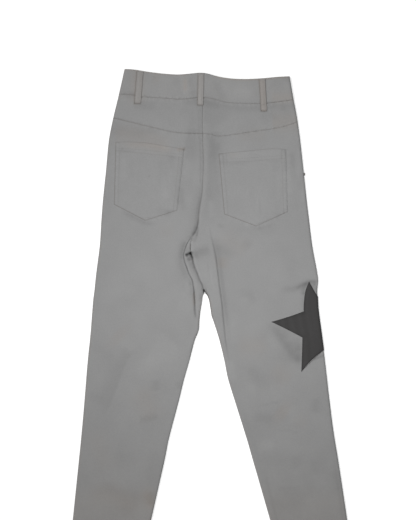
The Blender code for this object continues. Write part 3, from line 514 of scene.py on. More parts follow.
# Warm stains, fainter than the marks. Their height is a share of the stain's own colour.
BACK_STAINS = creases(
    ([(-42, 6), (-41, 24), (-42, 42)], 0.5, 4, 4),
    ([(36, 380), (37, 396), (34, 412)], 0.35, 12, 12),
    ([(-120, 885), (-112, 900)], 0.45, 13, 13, (0.0, 0.0)),
    ([(-60, 160), (-44, 158)], 0.5, 4, 4, (0.2, 0.0)),
    ([(-180, 148), (-120, 150), (-50, 163)], 0.3, 8, 5),
    ([(-23, 455), (-22, 490)], 0.5, 3, 3),
    ([(150, 700), (175, 720)], 0.3, 22, 22),
    ([(-190, 540), (-170, 560)], 0.2, 28, 28),
    ([(-142, 8), (-142, 50)], 0.35, 14, 14, (0.0, 0.0)),
    ([(-168, -9), (-149, -7.8), (-130, -5)], 0.3, 3, 3, (0.0, 0.2)),
    ([(-149, -7.8), (-115, -2.4), (-82, 1.2), (-55, 2.6), (-31, 0.8)], 0.3, 3, 3, (0.1, 0.1)),
    ([(12, 2), (36, 8.4), (58, 11.2), (86, 12.1), (120, 10.5), (153, 7.5), (178, 6)], 0.55, 3, 3,
     (0.1, 0.0)),
    ([(-112, 8), (-92, 12)], 0.2, 10, 10),
    ([(135, 52), (184, 50)], 0.35, 12, 12, (0.2, 0.0)),
    ([(140, 104), (188, 100)], 0.32, 20, 20, (0.1, 0.0)),
    ([(-196, 122), (-120, 134), (-62, 158)], 0.26, 20, 16, (0.1, 0.3)),
    ([(60, 130), (140, 128)], 0.15, 14, 14),
    ([(60, 164), (60, 178)], 0.15, 12, 12),
    ([(20, 335), (60, 356), (100, 376)], 0.15, 22, 22),
    ([(-100, 330), (-60, 330)], 0.1, 14, 14),
    ([(60, 570), (140, 572)], 0.2, 20, 20),
    ([(140, 612), (180, 650)], 0.2, 20, 20),
    ([(180, 724), (222, 734)], 0.12, 16, 16),
    ([(-140, 650), (-104, 735)], 0.2, 24, 24),
    ([(-235, 735), (-205, 845)], 0.14, 24, 24),
    ([(-255, 880), (-190, 885), (-130, 925)], 0.2, 20, 24),
)


def ramp(value, low, high):
    """A smooth rise from 0 at `low` to 1 at `high`."""
    t = np.clip((value - low) / (high - low), 0, 1)
    return t * t * (3 - 2 * t)


def mix(start, end, share):
    return start * (1 - share) + end * share


def smooth(table, at, column=1):
    """The column's value at `at`, on a smooth curve through the rows and level past the ends."""
    knots, values = table[:, 0], table[:, column]
    order = np.arange(len(knots))
    low, high = np.maximum(order - 1, 0), np.minimum(order + 1, len(knots) - 1)
    slopes = (values[high] - values[low]) / (knots[high] - knots[low])
    end = np.clip(np.searchsorted(knots, at), 1, len(knots) - 1)
    start = end - 1
    span = knots[end] - knots[start]
    t = np.clip((at - knots[start]) / span, 0, 1)
    bend = t * (1 - t) ** 2 * slopes[start] * span - t * t * (1 - t) * slopes[end] * span
    return values[start] + t * t * (3 - 2 * t) * (values[end] - values[start]) + bend


def side_column(side):
    return 1 if side == LEFT else 2


def outer_edge(side, drop):
    return smooth(OUTSEAM, drop, side_column(side))


def inner_edge(side, layer, drop):
    """The seam towards the centre: the seat or fly seam above the crotch and the inseam below it."""
    return smooth(INNER[layer], drop, side_column(side)) + side * SEAM_GAP / 2


def width_of(side, layer, drop):
    return side * (outer_edge(side, drop) - inner_edge(side, layer, drop))


def top(drop):
    return np.interp(drop, LOFT[:, 0], LOFT[:, 1])


def under(side, drop):
    return np.interp(drop, LOFT[:, 0], LOFT[:, 1 + side_column(side)])


def fold_line(side, drop):
    seam = inner_edge(side, BACK, drop)
    line = np.interp(drop, FOLDS[side][:, 0], FOLDS[side][:, 1])
    return side * np.maximum(side * line, side * seam + FOLD_CLEAR[side])


def fold_step(side, x, drop):
    """How far the fold moves the top of the cloth at a point."""
    half = FOLD_WIDTH[side] / 2
    past = ramp(side * (fold_line(side, drop) - x), -half, half)
    return np.interp(drop, FOLDS[side][:, 0], FOLDS[side][:, 2]) * past


def smooth_path(points, count):
    """Points on a smooth curve through the given ones."""
    table = np.column_stack([np.arange(len(points)), np.array(points, float)])
    at = np.linspace(0, len(points) - 1, count)
    return np.column_stack([smooth(table, at, 1), smooth(table, at, 2)])


def trace(creases, x, drop):
    """The summed height of creases at points in plan."""
    x, drop = np.broadcast_arrays(np.asarray(x, float), np.asarray(drop, float))
    total = np.zeros(x.shape)
    for crease in creases:
        path = smooth_path(crease.path, max(3, 6 * len(crease.path)))
        margin = 2.5 * max(crease.left, crease.right)
        low, high = path.min(0) - margin, path.max(0) + margin
        near = (x > low[0]) & (x < high[0]) & (drop > low[1]) & (drop < high[1])
        if not near.any():
            continue
        run = path[1:] - path[:-1]
        offset = np.column_stack([x[near], drop[near]])[:, None, :] - path[None, :-1]
        along = np.clip((offset * run).sum(2) / (run**2).sum(1), 0, 1)
        away = offset - along[..., None] * run
        nearest = (away**2).sum(2).argmin(1)
        pick = np.arange(len(nearest)), nearest
        away, along, run = away[pick], along[pick], run[nearest]
        on_left = run[:, 0] * away[:, 1] - run[:, 1] * away[:, 0] > 0
        width = np.where(on_left, crease.left, crease.right)
        share = (nearest + along) / (len(path) - 1)
        height = crease.height * np.exp(-(away**2).sum(1) / width**2)
        for end, from_end in zip(crease.ends, (share, 1 - share)):
            if end:
                height = height * ramp(from_end, 0, end)
        if crease.ripple:
            length = np.linalg.norm(np.diff(path, axis=0), axis=1).sum()
            turns = share * length / crease.ripple
            height = height * np.sin(2 * np.pi * turns + 1.7 * np.sin(2.3 * turns))
        total[near] += height
    return total


def seam_path(table, offset=0.0):
    """A path along a seam that crosses the body, `offset` below it."""
    return [(x, smooth(table, x) + offset) for x in np.linspace(table[0, 0], table[-1, 0], SEAM_POINTS)]


def seat_path(first, last, offset):
    """A path beside the seat seam, `offset` to its right."""
    return [(smooth(CENTRE_BACK, drop) + offset, drop) for drop in np.linspace(first, last, SEAM_POINTS)]


def puckers():
    """The small puckers along the seams of the back."""
    paths = [seam_path(YOKE_SEAM), seam_path(BACK_WAIST, 3.0), seat_path(70, 300, -4.0)]
    for side in (LEFT, RIGHT):
        upper, lower = POCKETS[side]
        paths += [[upper[0], lower[0]], lower, [upper[-1], lower[-1]]]
    height, width = PUCKER_HEIGHT, PUCKER_WIDTH
    return tuple(Crease(path, height, width, width, (0.02, 0.02), PUCKER_SPACING) for path in paths)


PUCKERS = puckers()


def swell(x, drop):
    total = 0
    for length, direction, height, phase in SWELLS:
        across = x * math.cos(math.radians(direction)) + drop * math.sin(math.radians(direction))
        total = total + height * np.sin(2 * np.pi * across / length + phase)
    return total


def back_relief(x, drop):
    return trace(BACK_CREASES + PUCKERS, x, drop) + swell(x, drop)


def front_relief(x, drop):
    """The front lies on the ground, so its creases only lift it."""
    return trace(FRONT_CREASES, x, drop)


def back_level(side, x, drop):
    return top(drop) + fold_step(side, x, drop) + back_relief(x, drop)


def front_level(side, x, drop):
    return under(side, drop) + front_relief(x, drop)


def place(side, layer, x, drop, lift, level, middle=None, crosses_centre=False):
    """Points of the cloth, moved out of its surface by `lift`.

    The cloth lies at `level` and turns down (in front, up) to the height `middle` at the seams on its
    two edges, or on its outer edge alone if it crosses the centre.
    """
    if middle is None:
        middle = (top(drop) + under(side, drop)) / 2
    middle = middle + layer * SEAM_GAP / 2
    from_outer = np.maximum(side * (outer_edge(side, drop) - x), 0)
    cosine = np.clip(1 - from_outer / ROLL, 0, 1)
    facing = np.where(from_outer < ROLL, side, 0)
    if not crosses_centre:
        from_inner = np.maximum(side * (x - inner_edge(side, layer, drop)), 0)
        turn, fades_from, length = SEAM_TURNS[layer]
        seam_turn = turn * (1 - np.clip((drop - fades_from) / length, 0, 1))
        at_inner = (from_inner < ROLL) & (from_outer >= ROLL)
        inner_cosine = np.clip(np.cos(seam_turn) - from_inner / ROLL, 0, 1)
        cosine = np.where(at_inner, inner_cosine, cosine)
        facing = np.where(at_inner, -side, facing)
    sine = np.sqrt(1 - cosine**2)
    height = mix(middle, level, sine) + layer * lift * sine
    return np.stack(np.broadcast_arrays(x + lift * facing * cosine, -drop, height), axis=-1)


def rounding(distance, radius=0.5):
    """How far the cloth's face has turned down at a distance from its edge."""
    inside = np.clip(radius - distance, 0, radius)
    return radius - np.sqrt(radius**2 - inside**2)


EDGE_STEPS = np.array([0.0, 0.15, 0.5, 1.1, 1.9, 3.0, 4.3, 6.0])


def span(starts, ends, count):
    """`count` even steps from each start, which is left out, to its end."""
    share = np.arange(1, count + 1) / count
    return mix(np.reshape(starts, (-1, 1)), np.reshape(ends, (-1, 1)), share)


def edge_to_edge(start, end, count):
    """Columns from a start to an end, close together at both."""
    start, end = (np.reshape(np.asarray(value, float), (-1, 1)) for value in (start, end))
    near, far = start + EDGE_STEPS, end - EDGE_STEPS[::-1]
    return np.hstack([near, span(near[:, -1], far[:, 0], count)[:, :-1], far])


def graded(length, spacing):
    return edge_to_edge(0.0, length, max(2, round(length / spacing)))[0]


def panel_columns(side, drop, width):
    """Distances in from the outseam, close together at both edges and over the fold."""
    fold = side * (outer_edge(side, drop) - fold_line(side, drop))
    half = np.minimum(6.0, (width - fold) / 2)
    near, far = EDGE_STEPS + 0 * width, width - EDGE_STEPS[::-1] * np.minimum(1, (width - fold) / 16)
    past_fold = 22 if side == RIGHT else 8
    return np.hstack([
        near,
        span(near[:, -1], fold - half, 58),
        span(fold - half, fold + half, 12),
        span(fold + half, far[:, 0], past_fold)[:, :-1],
        far,
    ])


def spots(side, layer, drop_at, columns, start_drop):
    """x and drop of a grid whose rows run along lines: `drop_at(x)` gives the drop of every row."""
    nominal = start_drop
    for _ in range(3):
        nominal = drop_at(outer_edge(side, nominal))
    width = width_of(side, layer, nominal)
    reach = columns(nominal, width)
    edge = outer_edge(side, nominal)
    drop = drop_at(edge - side * reach)
    scale = mix(1, width_of(side, layer, drop) / width, ramp(reach, ROLL, 6 * ROLL))
    return outer_edge(side, drop) - side * reach * scale, drop


def leg_lines(side, layer, nominal):
    """Lines straight across a leg, which slant down to the inseam near the hem."""
    nominal = np.reshape(nominal, (-1, 1))
    slant = HEM_SLANT * np.clip((nominal - HEM_SLANT_START) / (HEM_DROP - HEM_SLANT_START), 0, 1)
    edge, width = outer_edge(side, nominal), width_of(side, layer, nominal)
    return lambda x: nominal + slant * np.clip(side * (edge - x) / width, 0, 1)


def lines_between(upper, lower, shares):
    shares = np.reshape(shares, (-1, 1))
    return lambda x: mix(upper(x), lower(x), shares)


def seam_line(table, offset=0.0):
    return lambda x: smooth(table, x) + offset


def outline_edges(corners):
    """Each corner of a closed outline with the next one."""
    return zip(corners, np.roll(corners, -1, axis=0))


def grid_faces(rows, columns):
    index = np.arange(rows * columns).reshape(rows, columns)
    corners = index[:-1, :-1], index[:-1, 1:], index[1:, 1:], index[1:, :-1]
    return np.stack([corner.ravel() for corner in corners], axis=1)


def tube_faces(rings, sides):
    """Faces of a tube with closed ends, whose points go round it ring by ring."""
    def corner(ring, step):
        return ring * sides + step % sides

    faces = [[corner(r, s), corner(r, s + 1), corner(r + 1, s + 1), corner(r + 1, s)]
             for r in range(rings - 1) for s in range(sides)]
    return faces + [list(range(sides))[::-1], list(range((rings - 1) * sides, rings * sides))]


def to_frame(points):
    """Points of the garment in the frame, in metres."""
    left, right = (outer_edge(side, HEM_DROP) for side in (LEFT, RIGHT))
    middle_drop = (BACK_RIM[:, 1].min() + HEM_DROP + HEM_SLANT) / 2
    return (np.asarray(points) + ((-left - right) / 2, middle_drop, 0.0)) * MM


def add_mesh(name, points, faces, material, replaced=(), paint=None):
    """A piece that rides on the garment's body, from points in millimetres."""
    mesh = bpy.data.meshes.new(name)
    mesh.from_pydata(to_frame(points).tolist(), [], faces)
    mesh.shade_smooth()
    mesh.set_sharp_from_angle(angle=math.radians(50))
    mesh.materials.append(material)
    for key, values in (paint or {}).items():
        attribute = mesh.attributes.new(key, "FLOAT", "POINT")
        attribute.data.foreach_set("value", np.asarray(values, np.float32))
    piece = bpy.data.objects.new(name, mesh)
    bpy.context.scene.collection.objects.link(piece)
    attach(piece, "root")
    if replaced:
        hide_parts(*replaced)
    return piece


def shell(node, outer, inner, faces, material, paint):
    """A closed wall of cloth from the matching points of its two faces."""
    outer, inner = outer.reshape(-1, 3), inner.reshape(-1, 3)
    count = len(outer)
    starts, ends = faces, np.roll(faces, -1, axis=1)
    forward, backward = starts * count + ends, ends * count + starts
    rim = ~np.isin(forward, backward)
    a, b = starts[rim], ends[rim]
    sides = np.column_stack([b, a, a + count, b + count])
    points = np.vstack([outer, inner])
    fans = [np.stack([group[:, 0], group[:, i], group[:, i + 1]], axis=1)
            for group in (faces, faces[:, ::-1] + count, sides) for i in range(1, group.shape[1] - 1)]
    corners = points[np.vstack(fans)]
    volume = np.einsum("ij,ij->", corners[:, 0], np.cross(corners[:, 1], corners[:, 2]))
    turn = slice(None, None, 1 if volume > 0 else -1)
    groups = faces[:, turn], (faces[:, ::-1] + count)[:, turn], sides[:, turn]
    all_faces = [face for group in groups for face in group.tolist()]
    doubled = {key: np.tile(np.ravel(values), 2) for key, values in paint.items()}
    return add_mesh(node + "_cloth", points, all_faces, material, [node], doubled)


def light_and_warmth(drop):
    """The cloth's painted light and shade down the garment, as a share of its tone, and its warmth."""
    return (np.interp(drop, PAINTED_LIGHT_AND_WARMTH[:, 0], PAINTED_LIGHT_AND_WARMTH[:, i]) for i in (1, 2))


def back_paint(x, drop, painted_shade):
    """How the cloth's tone and warmth vary over the back, with its painted light and shade; the last argument
    is painted shade along seams and edges, which darkens and warms it further.
    """
    tone, warmth = light_and_warmth(drop)
    tone = tone + trace(BACK_PAINTED_SHADING_AND_SPOTS, x, drop) - painted_shade
    return {"tone_and_painted_shade": tone, "warmth": warmth + trace(BACK_STAINS, x, drop) + 1.6 * np.maximum(painted_shade, 0)}


def front_paint(x, drop, painted_shade):
    """The front's cloth, rubbed lighter along its raised creases, with the painted light and shade down the
    garment; the last argument is painted shade along its seams.
    """
    tone, warmth = light_and_warmth(drop)
    tone = tone + 0.09 * front_relief(x, drop) - painted_shade
    return {"tone_and_painted_shade": tone, "warmth": warmth + 0 * x}


def painted_shadow_round_loops(x, drop):
    """The painted shadow on the cloth beside and below the belt loops, deeper on their left sides."""
    shade_paint = 0
    for loop in LOOPS:
        if loop.layer == BACK:
            (_, first), (_, last) = (loop_spots(loop, 0.0, end) for end in (0, 1))
            middle = mix(loop.x_top, loop.x_bottom, (drop - first) / (last - first))
            beside = np.maximum(abs(x - middle) - loop.width / 2, 0)
            away = np.hypot(beside, np.maximum(drop - last, 0))
            depth = np.where(drop > last, 0.14, np.where(x < middle, 0.18, 0.04))
            shade_paint = shade_paint + painted_line_shade(away, depth, 1.5) * (drop > first)
    return shade_paint


# Painted shade along the left outseam, and a painted highlight along the right one below drop 600.
def outseam_light_and_shade(side, x, drop):
    depth = 0.14 + 0.05 * ramp(drop, 520, 580) if side == LEFT else -0.06 * ramp(drop, 600, 650)
    return painted_line_shade(x - outer_edge(side, drop), depth, 3.2)


def painted_line_shade(distance, depth=0.16, width=1.0):
    """A painted shade line along a seam or an edge, by the distance from it; a depth below 0 paints a
    highlight instead.
    """
    return depth * np.exp(-((distance / width) ** 2))


def linear(hex_colour):
    """A linear colour from an sRGB hex value."""
    parts = [int(hex_colour[i : i + 2], 16) / 255 for i in (1, 3, 5)]
    return tuple(part / 12.92 if part <= 0.04045 else ((part + 0.055) / 1.055) ** 2.4 for part in parts)


def fill(material, node, inputs):
    """Gives each input of a node a value, or a link from a socket."""
    for name, value in inputs.items():
        if isinstance(value, bpy.types.NodeSocket):
            material.node_tree.links.new(value, node.inputs[name])
        else:
            node.inputs[name].default_value = value


def add_node(material, kind, settings=None, inputs=None):
    """A node with its settings, and its inputs filled."""
    node = material.node_tree.nodes.new(kind)
    for name, value in (settings or {}).items():
        setattr(node, name, value)
    fill(material, node, inputs or {})
    return node


def new_material(name):
    """An empty material and its shader."""
    material = bpy.data.materials.new(name)
    material.use_nodes = True
    return material, material.node_tree.nodes["Principled BSDF"]


# Blender's wave texture repeats every 0.314 of its unit, and its noise about once in a unit.
WAVE_PERIOD = math.pi / 10


def twill(name, colour, stain, pitch, roughness):
    """Cotton twill, piece dyed and washed: fine diagonal ribs, a slightly cloudy tone and no gloss.

    The ribs are 0.6 mm apart on the real cloth, too fine to show, so they are drawn `pitch` apart.
    """
    material, shader = new_material(name)
    place_of = add_node(material, "ShaderNodeTexCoord").outputs["Object"]
    lean = {"Vector": place_of, "Rotation": (0, 0, math.radians(27))}
    turned = add_node(material, "ShaderNodeMapping", inputs=lean).outputs[0]
    weave = {"Vector": turned, "Scale": WAVE_PERIOD / (pitch * MM)}
    weave.update({"Distortion": 1.2, "Detail": 2.0, "Detail Scale": 1.5})
    bands = {"wave_type": "BANDS", "bands_direction": "X"}
    ribs = add_node(material, "ShaderNodeTexWave", bands, weave).outputs["Fac"]
    slubs = {"Vector": place_of, "Scale": 1 / (3.0 * MM), "Detail": 3.0, "Roughness": 0.7}
    yarn = add_node(material, "ShaderNodeTexNoise", inputs=slubs).outputs["Fac"]
    clouds = {"Vector": place_of, "Scale": 1 / (62 * MM), "Detail": 4.0, "Roughness": 0.55}
    cloud = add_node(material, "ShaderNodeTexNoise", inputs=clouds).outputs["Fac"]
    tones = []
    for source, reach in ((ribs, 0.035), (yarn, 0.09), (cloud, 0.08)):
        span_of_tone = {"Value": source, "To Min": 1 - reach, "To Max": 1 + reach}
        tones.append(add_node(material, "ShaderNodeMapRange", inputs=span_of_tone).outputs[0])
    # A point attribute brings in the cloth's tone down the garment with its painted shade and painted
    # highlights.
    tones.append(add_node(material, "ShaderNodeAttribute", {"attribute_name": "tone_and_painted_shade"}).outputs["Fac"])
    product = tones[0]
    for tone in tones[1:]:
        factors = {0: product, 1: tone}
        product = add_node(material, "ShaderNodeMath", {"operation": "MULTIPLY"}, factors).outputs[0]
    warmth = add_node(material, "ShaderNodeAttribute", {"attribute_name": "warmth"}).outputs["Fac"]
    dyes = {"Factor": warmth, 6: (*colour, 1), 7: (*stain, 1)}
    dye = add_node(material, "ShaderNodeMix", {"data_type": "RGBA"}, dyes).outputs[2]
    shading = {"Vector": dye, "Scale": product}
    shaded = add_node(material, "ShaderNodeVectorMath", {"operation": "SCALE"}, shading)
    height = add_node(material, "ShaderNodeMath", {"operation": "ADD"}, {0: ribs, 1: yarn})
    relief = {"Height": height.outputs[0], "Distance": 0.12 * MM, "Strength": 0.6}
    bump = add_node(material, "ShaderNodeBump", inputs=relief)
    fill(material, shader, {"Base Color": shaded.outputs[0], "Normal": bump.outputs[0]})
    fill(material, shader, {"Roughness": roughness, "Specular IOR Level": 0.25})
    fill(material, shader, {"Sheen Weight": 0.05, "Sheen Roughness": 0.5})
    return material


def spun_thread(name, colour):
    """Core-spun polyester sewing thread: two plies twisted together, with a slight sheen."""
    material, shader = new_material(name)
    place_of = add_node(material, "ShaderNodeTexCoord").outputs["Object"]
    twist = {"Vector": place_of, "Scale": 1 / (1.2 * MM), "Detail": 2.0}
    plies = add_node(material, "ShaderNodeTexNoise", inputs=twist).outputs["Fac"]
    tone = add_node(material, "ShaderNodeMapRange", inputs={"Value": plies, "To Min": 0.8, "To Max": 1.2})
    shading = {"Vector": colour, "Scale": tone.outputs[0]}
    shaded = add_node(material, "ShaderNodeVectorMath", {"operation": "SCALE"}, shading)
    fill(material, shader, {"Base Color": shaded.outputs[0], "Roughness": 0.6})
    return material


def antiqued_brass(name, colour, worn):
    """Brass blackened in a bath and tumbled, so that it is dark and shows warm metal where it is rubbed."""
    material, shader = new_material(name)
    place_of = add_node(material, "ShaderNodeTexCoord").outputs["Object"]
    blotches = {"Vector": place_of, "Scale": 1 / (1.5 * MM), "Detail": 5.0, "Roughness": 0.65}
    patina = add_node(material, "ShaderNodeTexNoise", inputs=blotches).outputs["Fac"]
    rubbed = {"Value": patina, "From Min": 0.45, "From Max": 0.7}
    spread = add_node(material, "ShaderNodeMapRange", inputs=rubbed).outputs[0]
    metals = {"Factor": spread, 6: (*colour, 1), 7: (*worn, 1)}
    metal = add_node(material, "ShaderNodeMix", {"data_type": "RGBA"}, metals).outputs[2]
    finish = add_node(material, "ShaderNodeMapRange", inputs={"Value": patina, "To Min": 0.5, "To Max": 0.3})
    relief = {"Height": patina, "Distance": 0.05 * MM, "Strength": 0.4}
    bump = add_node(material, "ShaderNodeBump", inputs=relief)
    fill(material, shader, {"Base Color": metal, "Roughness": finish.outputs[0], "Normal": bump.outputs[0]})
    fill(material, shader, {"Metallic": 1.0})
    return material


def woven_tape(name, colour):
    """Polyester zip tape, woven in a flat rib: narrow cords along its length."""
    material, shader = new_material(name)
    place_of = add_node(material, "ShaderNodeTexCoord").outputs["Object"]
    bands = {"wave_type": "BANDS", "bands_direction": "X"}
    weave = {"Vector": place_of, "Scale": WAVE_PERIOD / (1.2 * MM)}
    cords = add_node(material, "ShaderNodeTexWave", bands, weave).outputs["Fac"]
    tone = add_node(material, "ShaderNodeMapRange", inputs={"Value": cords, "To Min": 0.75, "To Max": 1.1})
    shading = {"Vector": colour, "Scale": tone.outputs[0]}
    shaded = add_node(material, "ShaderNodeVectorMath", {"operation": "SCALE"}, shading)
    relief = {"Height": cords, "Distance": 0.15 * MM, "Strength": 0.6}
    bump = add_node(material, "ShaderNodeBump", inputs=relief)
    fill(material, shader, {"Base Color": shaded.outputs[0], "Normal": bump.outputs[0], "Roughness": 0.8})
    return material


def colour_property(name, description, hex_colour):
    return FloatVectorProperty(
        name=name,
        description=description,
        default=linear(hex_colour),
        size=3,
        min=0,
        max=1,
        subtype="COLOR",
    )


def length_property(name, description, millimetres):
    return FloatProperty(
        name=name,
        description=description,
        default=millimetres * MM,
        min=0,
        unit="LENGTH",
        subtype="DISTANCE",
        precision=5,
    )


class JeansClothSettings(bpy.types.PropertyGroup):
    """Sizes and colours of the cloth."""

    colour: colour_property("Cloth", "The grey of the dyed twill", "#969696")
    stain: colour_property("Stain", "The warmer grey of stains and of the belt loops", "#97908a")
    star: colour_property("Star", "The charcoal of the star patch", "#454444")
    wall: length_property("Thickness", "Thickness of the twill", 1.2)
    band_wall: length_property("Band Thickness", "Thickness of the waistband", 2.4)
    hem_wall: length_property("Hem Thickness", "Thickness of the turned hems", 1.9)
    rib_pitch: length_property("Rib Spacing", "Distance between the drawn ribs of the twill", 1.3)


class JeansSewingSettings(bpy.types.PropertyGroup):
    """Thread and stitches."""

    colour: colour_property("Thread", "The grey of the sewing thread", "#838281")
    dark: colour_property("Star Thread", "The thread round the star patch", "#333232")
    stitch: length_property("Stitch", "Length of a stitch that shows", 2.7)
    pitch: length_property("Pitch", "Distance from one stitch to the next", 3.5)
    thread: length_property("Thread Width", "Width of the sewing thread", 0.62)


class JeansMetalSettings(bpy.types.PropertyGroup):
    """The button and the rivets."""

    colour: colour_property("Metal", "The blackened brass", "#37322d")
    worn: colour_property("Worn Metal", "Brass where the blackening has rubbed off", "#6f604b")
    tape: colour_property("Zip Tape", "The tape of the zip", "#6d6c6b")


class JeansStageSettings(bpy.types.PropertyGroup):
    """Camera, lamps and floor."""

    view_length: length_property("View Length", "Length of floor that the view's long side shows", 1092.0)
    camera_height: length_property("Camera Height", "Height of the camera over the floor", 4200.0)
    window_power: FloatProperty(
        name="Window Power", description="Power of the wide light from the left", default=1.82, min=0
    )
    window_slope: FloatProperty(
        name="Window Slope",
        description="How far the wide light leans from overhead",
        default=math.radians(42),
        unit="ROTATION",
        subtype="ANGLE",
    )
    window_angle: FloatProperty(
        name="Window Width",
        description="How wide the light from the left is seen from the garment",
        default=math.radians(40),
        unit="ROTATION",
        subtype="ANGLE",
    )
    lamp_height: length_property("Lamp Height", "Height of the soft box over the floor", 700.0)
    lamp_size: length_property("Lamp Size", "Side of the soft box", 500.0)
    lamp_power: FloatProperty(
        name="Lamp Power", description="Power of the soft box", default=2.7, min=0, unit="POWER"
    )
    sky: FloatProperty(
        name="Sky", description="Strength of the even light from all round", default=0.10, min=0
    )
    floor: colour_property("Floor", "The pale floor", "#d9d9d9")


def cloth_settings():
    return bpy.context.scene.jeans_cloth


def grey_twill():
    """The garment's twill, made once."""
    found = bpy.data.materials.get("garment_dyed_twill")
    settings = cloth_settings()
    return found or twill("garment_dyed_twill", settings.colour, settings.stain, settings.rib_pitch / MM, 0.9)


def cut_from_twill(node, outer, inner, paint):
    """A piece of the garment's twill from the grids of its two faces."""
    piece = shell(node, outer, inner, grid_faces(*outer.shape[:2]), grey_twill(), paint)


def panel_rows(spacings, last):
    """Drops of a leg's rows from SEAT_START on, with close rows at the hem."""
    rows = [SEAT_START]
    for until, spacing in spacings:
        count = max(1, round((until - rows[-1]) / spacing))
        rows += list(np.linspace(rows[-1], until, count + 1)[1:])
    rows += list(np.linspace(rows[-1], last - 6, 6)[1:]) + [last - step for step in EDGE_STEPS[-2::-1]]
    return np.array(rows)


def wall_of_leg(drop):
    """The leg's wall, which is thicker over the turned hem."""
    settings = cloth_settings()
    hem = ramp(drop, HEM_DROP - HEM_DEPTH - 1, HEM_DROP - HEM_DEPTH + 1)
    return mix(settings.wall, settings.hem_wall, hem) / MM


class JEANS_OT_back_panels(bpy.types.Operator):
    """Makes the two back panels, from the yoke seam to the hems"""

    bl_idname = "jeans.back_panels"
    bl_label = "Back Panels"

    def execute(self, context):
        for side in (LEFT, RIGHT):
            x, drop = self.grid(side)
            level = back_level(side, x, drop)
            from_seam = drop - smooth(YOKE_SEAM, x)
            from_hem = leg_lines(side, BACK, HEM_DROP)(x) - drop
            turn = rounding(from_seam) + rounding(from_hem)
            outer = place(side, BACK, x, drop, -turn, level)
            inner = place(side, BACK, x, drop, -wall_of_leg(drop), level)
            # Painted shade along the yoke seam, deeper on the left, and along the panel's edges.
            painted_shade = painted_line_shade(from_seam, 0.19 if side == LEFT else 0.11) + self.edge_light_and_shade(side, x, drop)
            paint = back_paint(x, drop, painted_shade)
            name = SIDE_NAMES[side]
            cut_from_twill("back_panel_" + name, outer, inner, paint)
        return {"FINISHED"}

    @staticmethod
    def edge_light_and_shade(side, x, drop):
        """The painted shade lines of the seat seam, the inseam and the outseam, with painted highlights where
        their depth is below 0.
        """
        from_inner = x - inner_edge(side, BACK, drop)
        seat = painted_line_shade(from_inner, 0.04, 1.2) * (1 - ramp(drop, 330, 480))
        near, far = (0.1, -0.05) if side == LEFT else (0.2, 0.13)
        depth = mix(near * (1.7 - 0.7 * ramp(drop, 480, 520)), far, ramp(drop, 540, 640))
        inseam = painted_line_shade(from_inner, depth, 3.0) * ramp(drop, 446, 462)
        return seat + inseam + outseam_light_and_shade(side, x, drop)

    @staticmethod
    def grid(side):
        """x and drop of the panel's points."""

        def columns(drop, width):
            return panel_columns(side, drop, width)

        head = seam_line(YOKE_SEAM, SEAM_GAP / 2)
        level = leg_lines(side, BACK, SEAT_START)
        shares = graded(40.0, 2.2)[:-1] / 40.0
        upper = spots(side, BACK, lines_between(head, level, shares), columns, 110.0)
        nominal = panel_rows(((640, 2.2), (HEM_DROP - 30, 4.5)), HEM_DROP)
        lower = spots(side, BACK, leg_lines(side, BACK, nominal), columns, nominal[:, None])
        return tuple(np.vstack(pair) for pair in zip(upper, lower))


class JEANS_OT_yokes(bpy.types.Operator):
    """Makes the two yokes between the waistband and the back panels"""

    bl_idname = "jeans.yokes"
    bl_label = "Yokes"

    def execute(self, context):
        for side in (LEFT, RIGHT):

            def columns(drop, width):
                return edge_to_edge(0 * width, width, 66)

            head, foot = seam_line(BACK_WAIST, SEAM_GAP / 2), seam_line(YOKE_SEAM, -SEAM_GAP / 2)
            shares = graded(65.0, 2.4) / 65.0
            x, drop = spots(side, BACK, lines_between(head, foot, shares), columns, 70.0)
            level = back_level(side, x, drop)
            from_foot = smooth(YOKE_SEAM, x) - drop
            from_head = drop - smooth(BACK_WAIST, x)
            outer = place(side, BACK, x, drop, -rounding(from_foot), level)
            inner = place(side, BACK, x, drop, -cloth_settings().wall / MM, level)
            from_seat = x - inner_edge(side, BACK, drop)
            # Painted shade along the yoke and waist seams and the seat seam, beside the loops and at the
            # outseam.
            painted_shade = painted_line_shade(from_foot, 0.13 if side == LEFT else 0.07) + painted_line_shade(from_head, 0.08, 1.3)
            painted_shade = painted_shade + painted_line_shade(from_seat, 0.02, 1.2)
            painted_shade = painted_shade + painted_shadow_round_loops(x, drop) + outseam_light_and_shade(side, x, drop)
            paint = back_paint(x, drop, painted_shade)
            name = SIDE_NAMES[side]
            cut_from_twill("yoke_" + name, outer, inner, paint)
        return {"FINISHED"}


def band_middle(side, drop):
    return (BAND_TOP + under(side, drop)) / 2


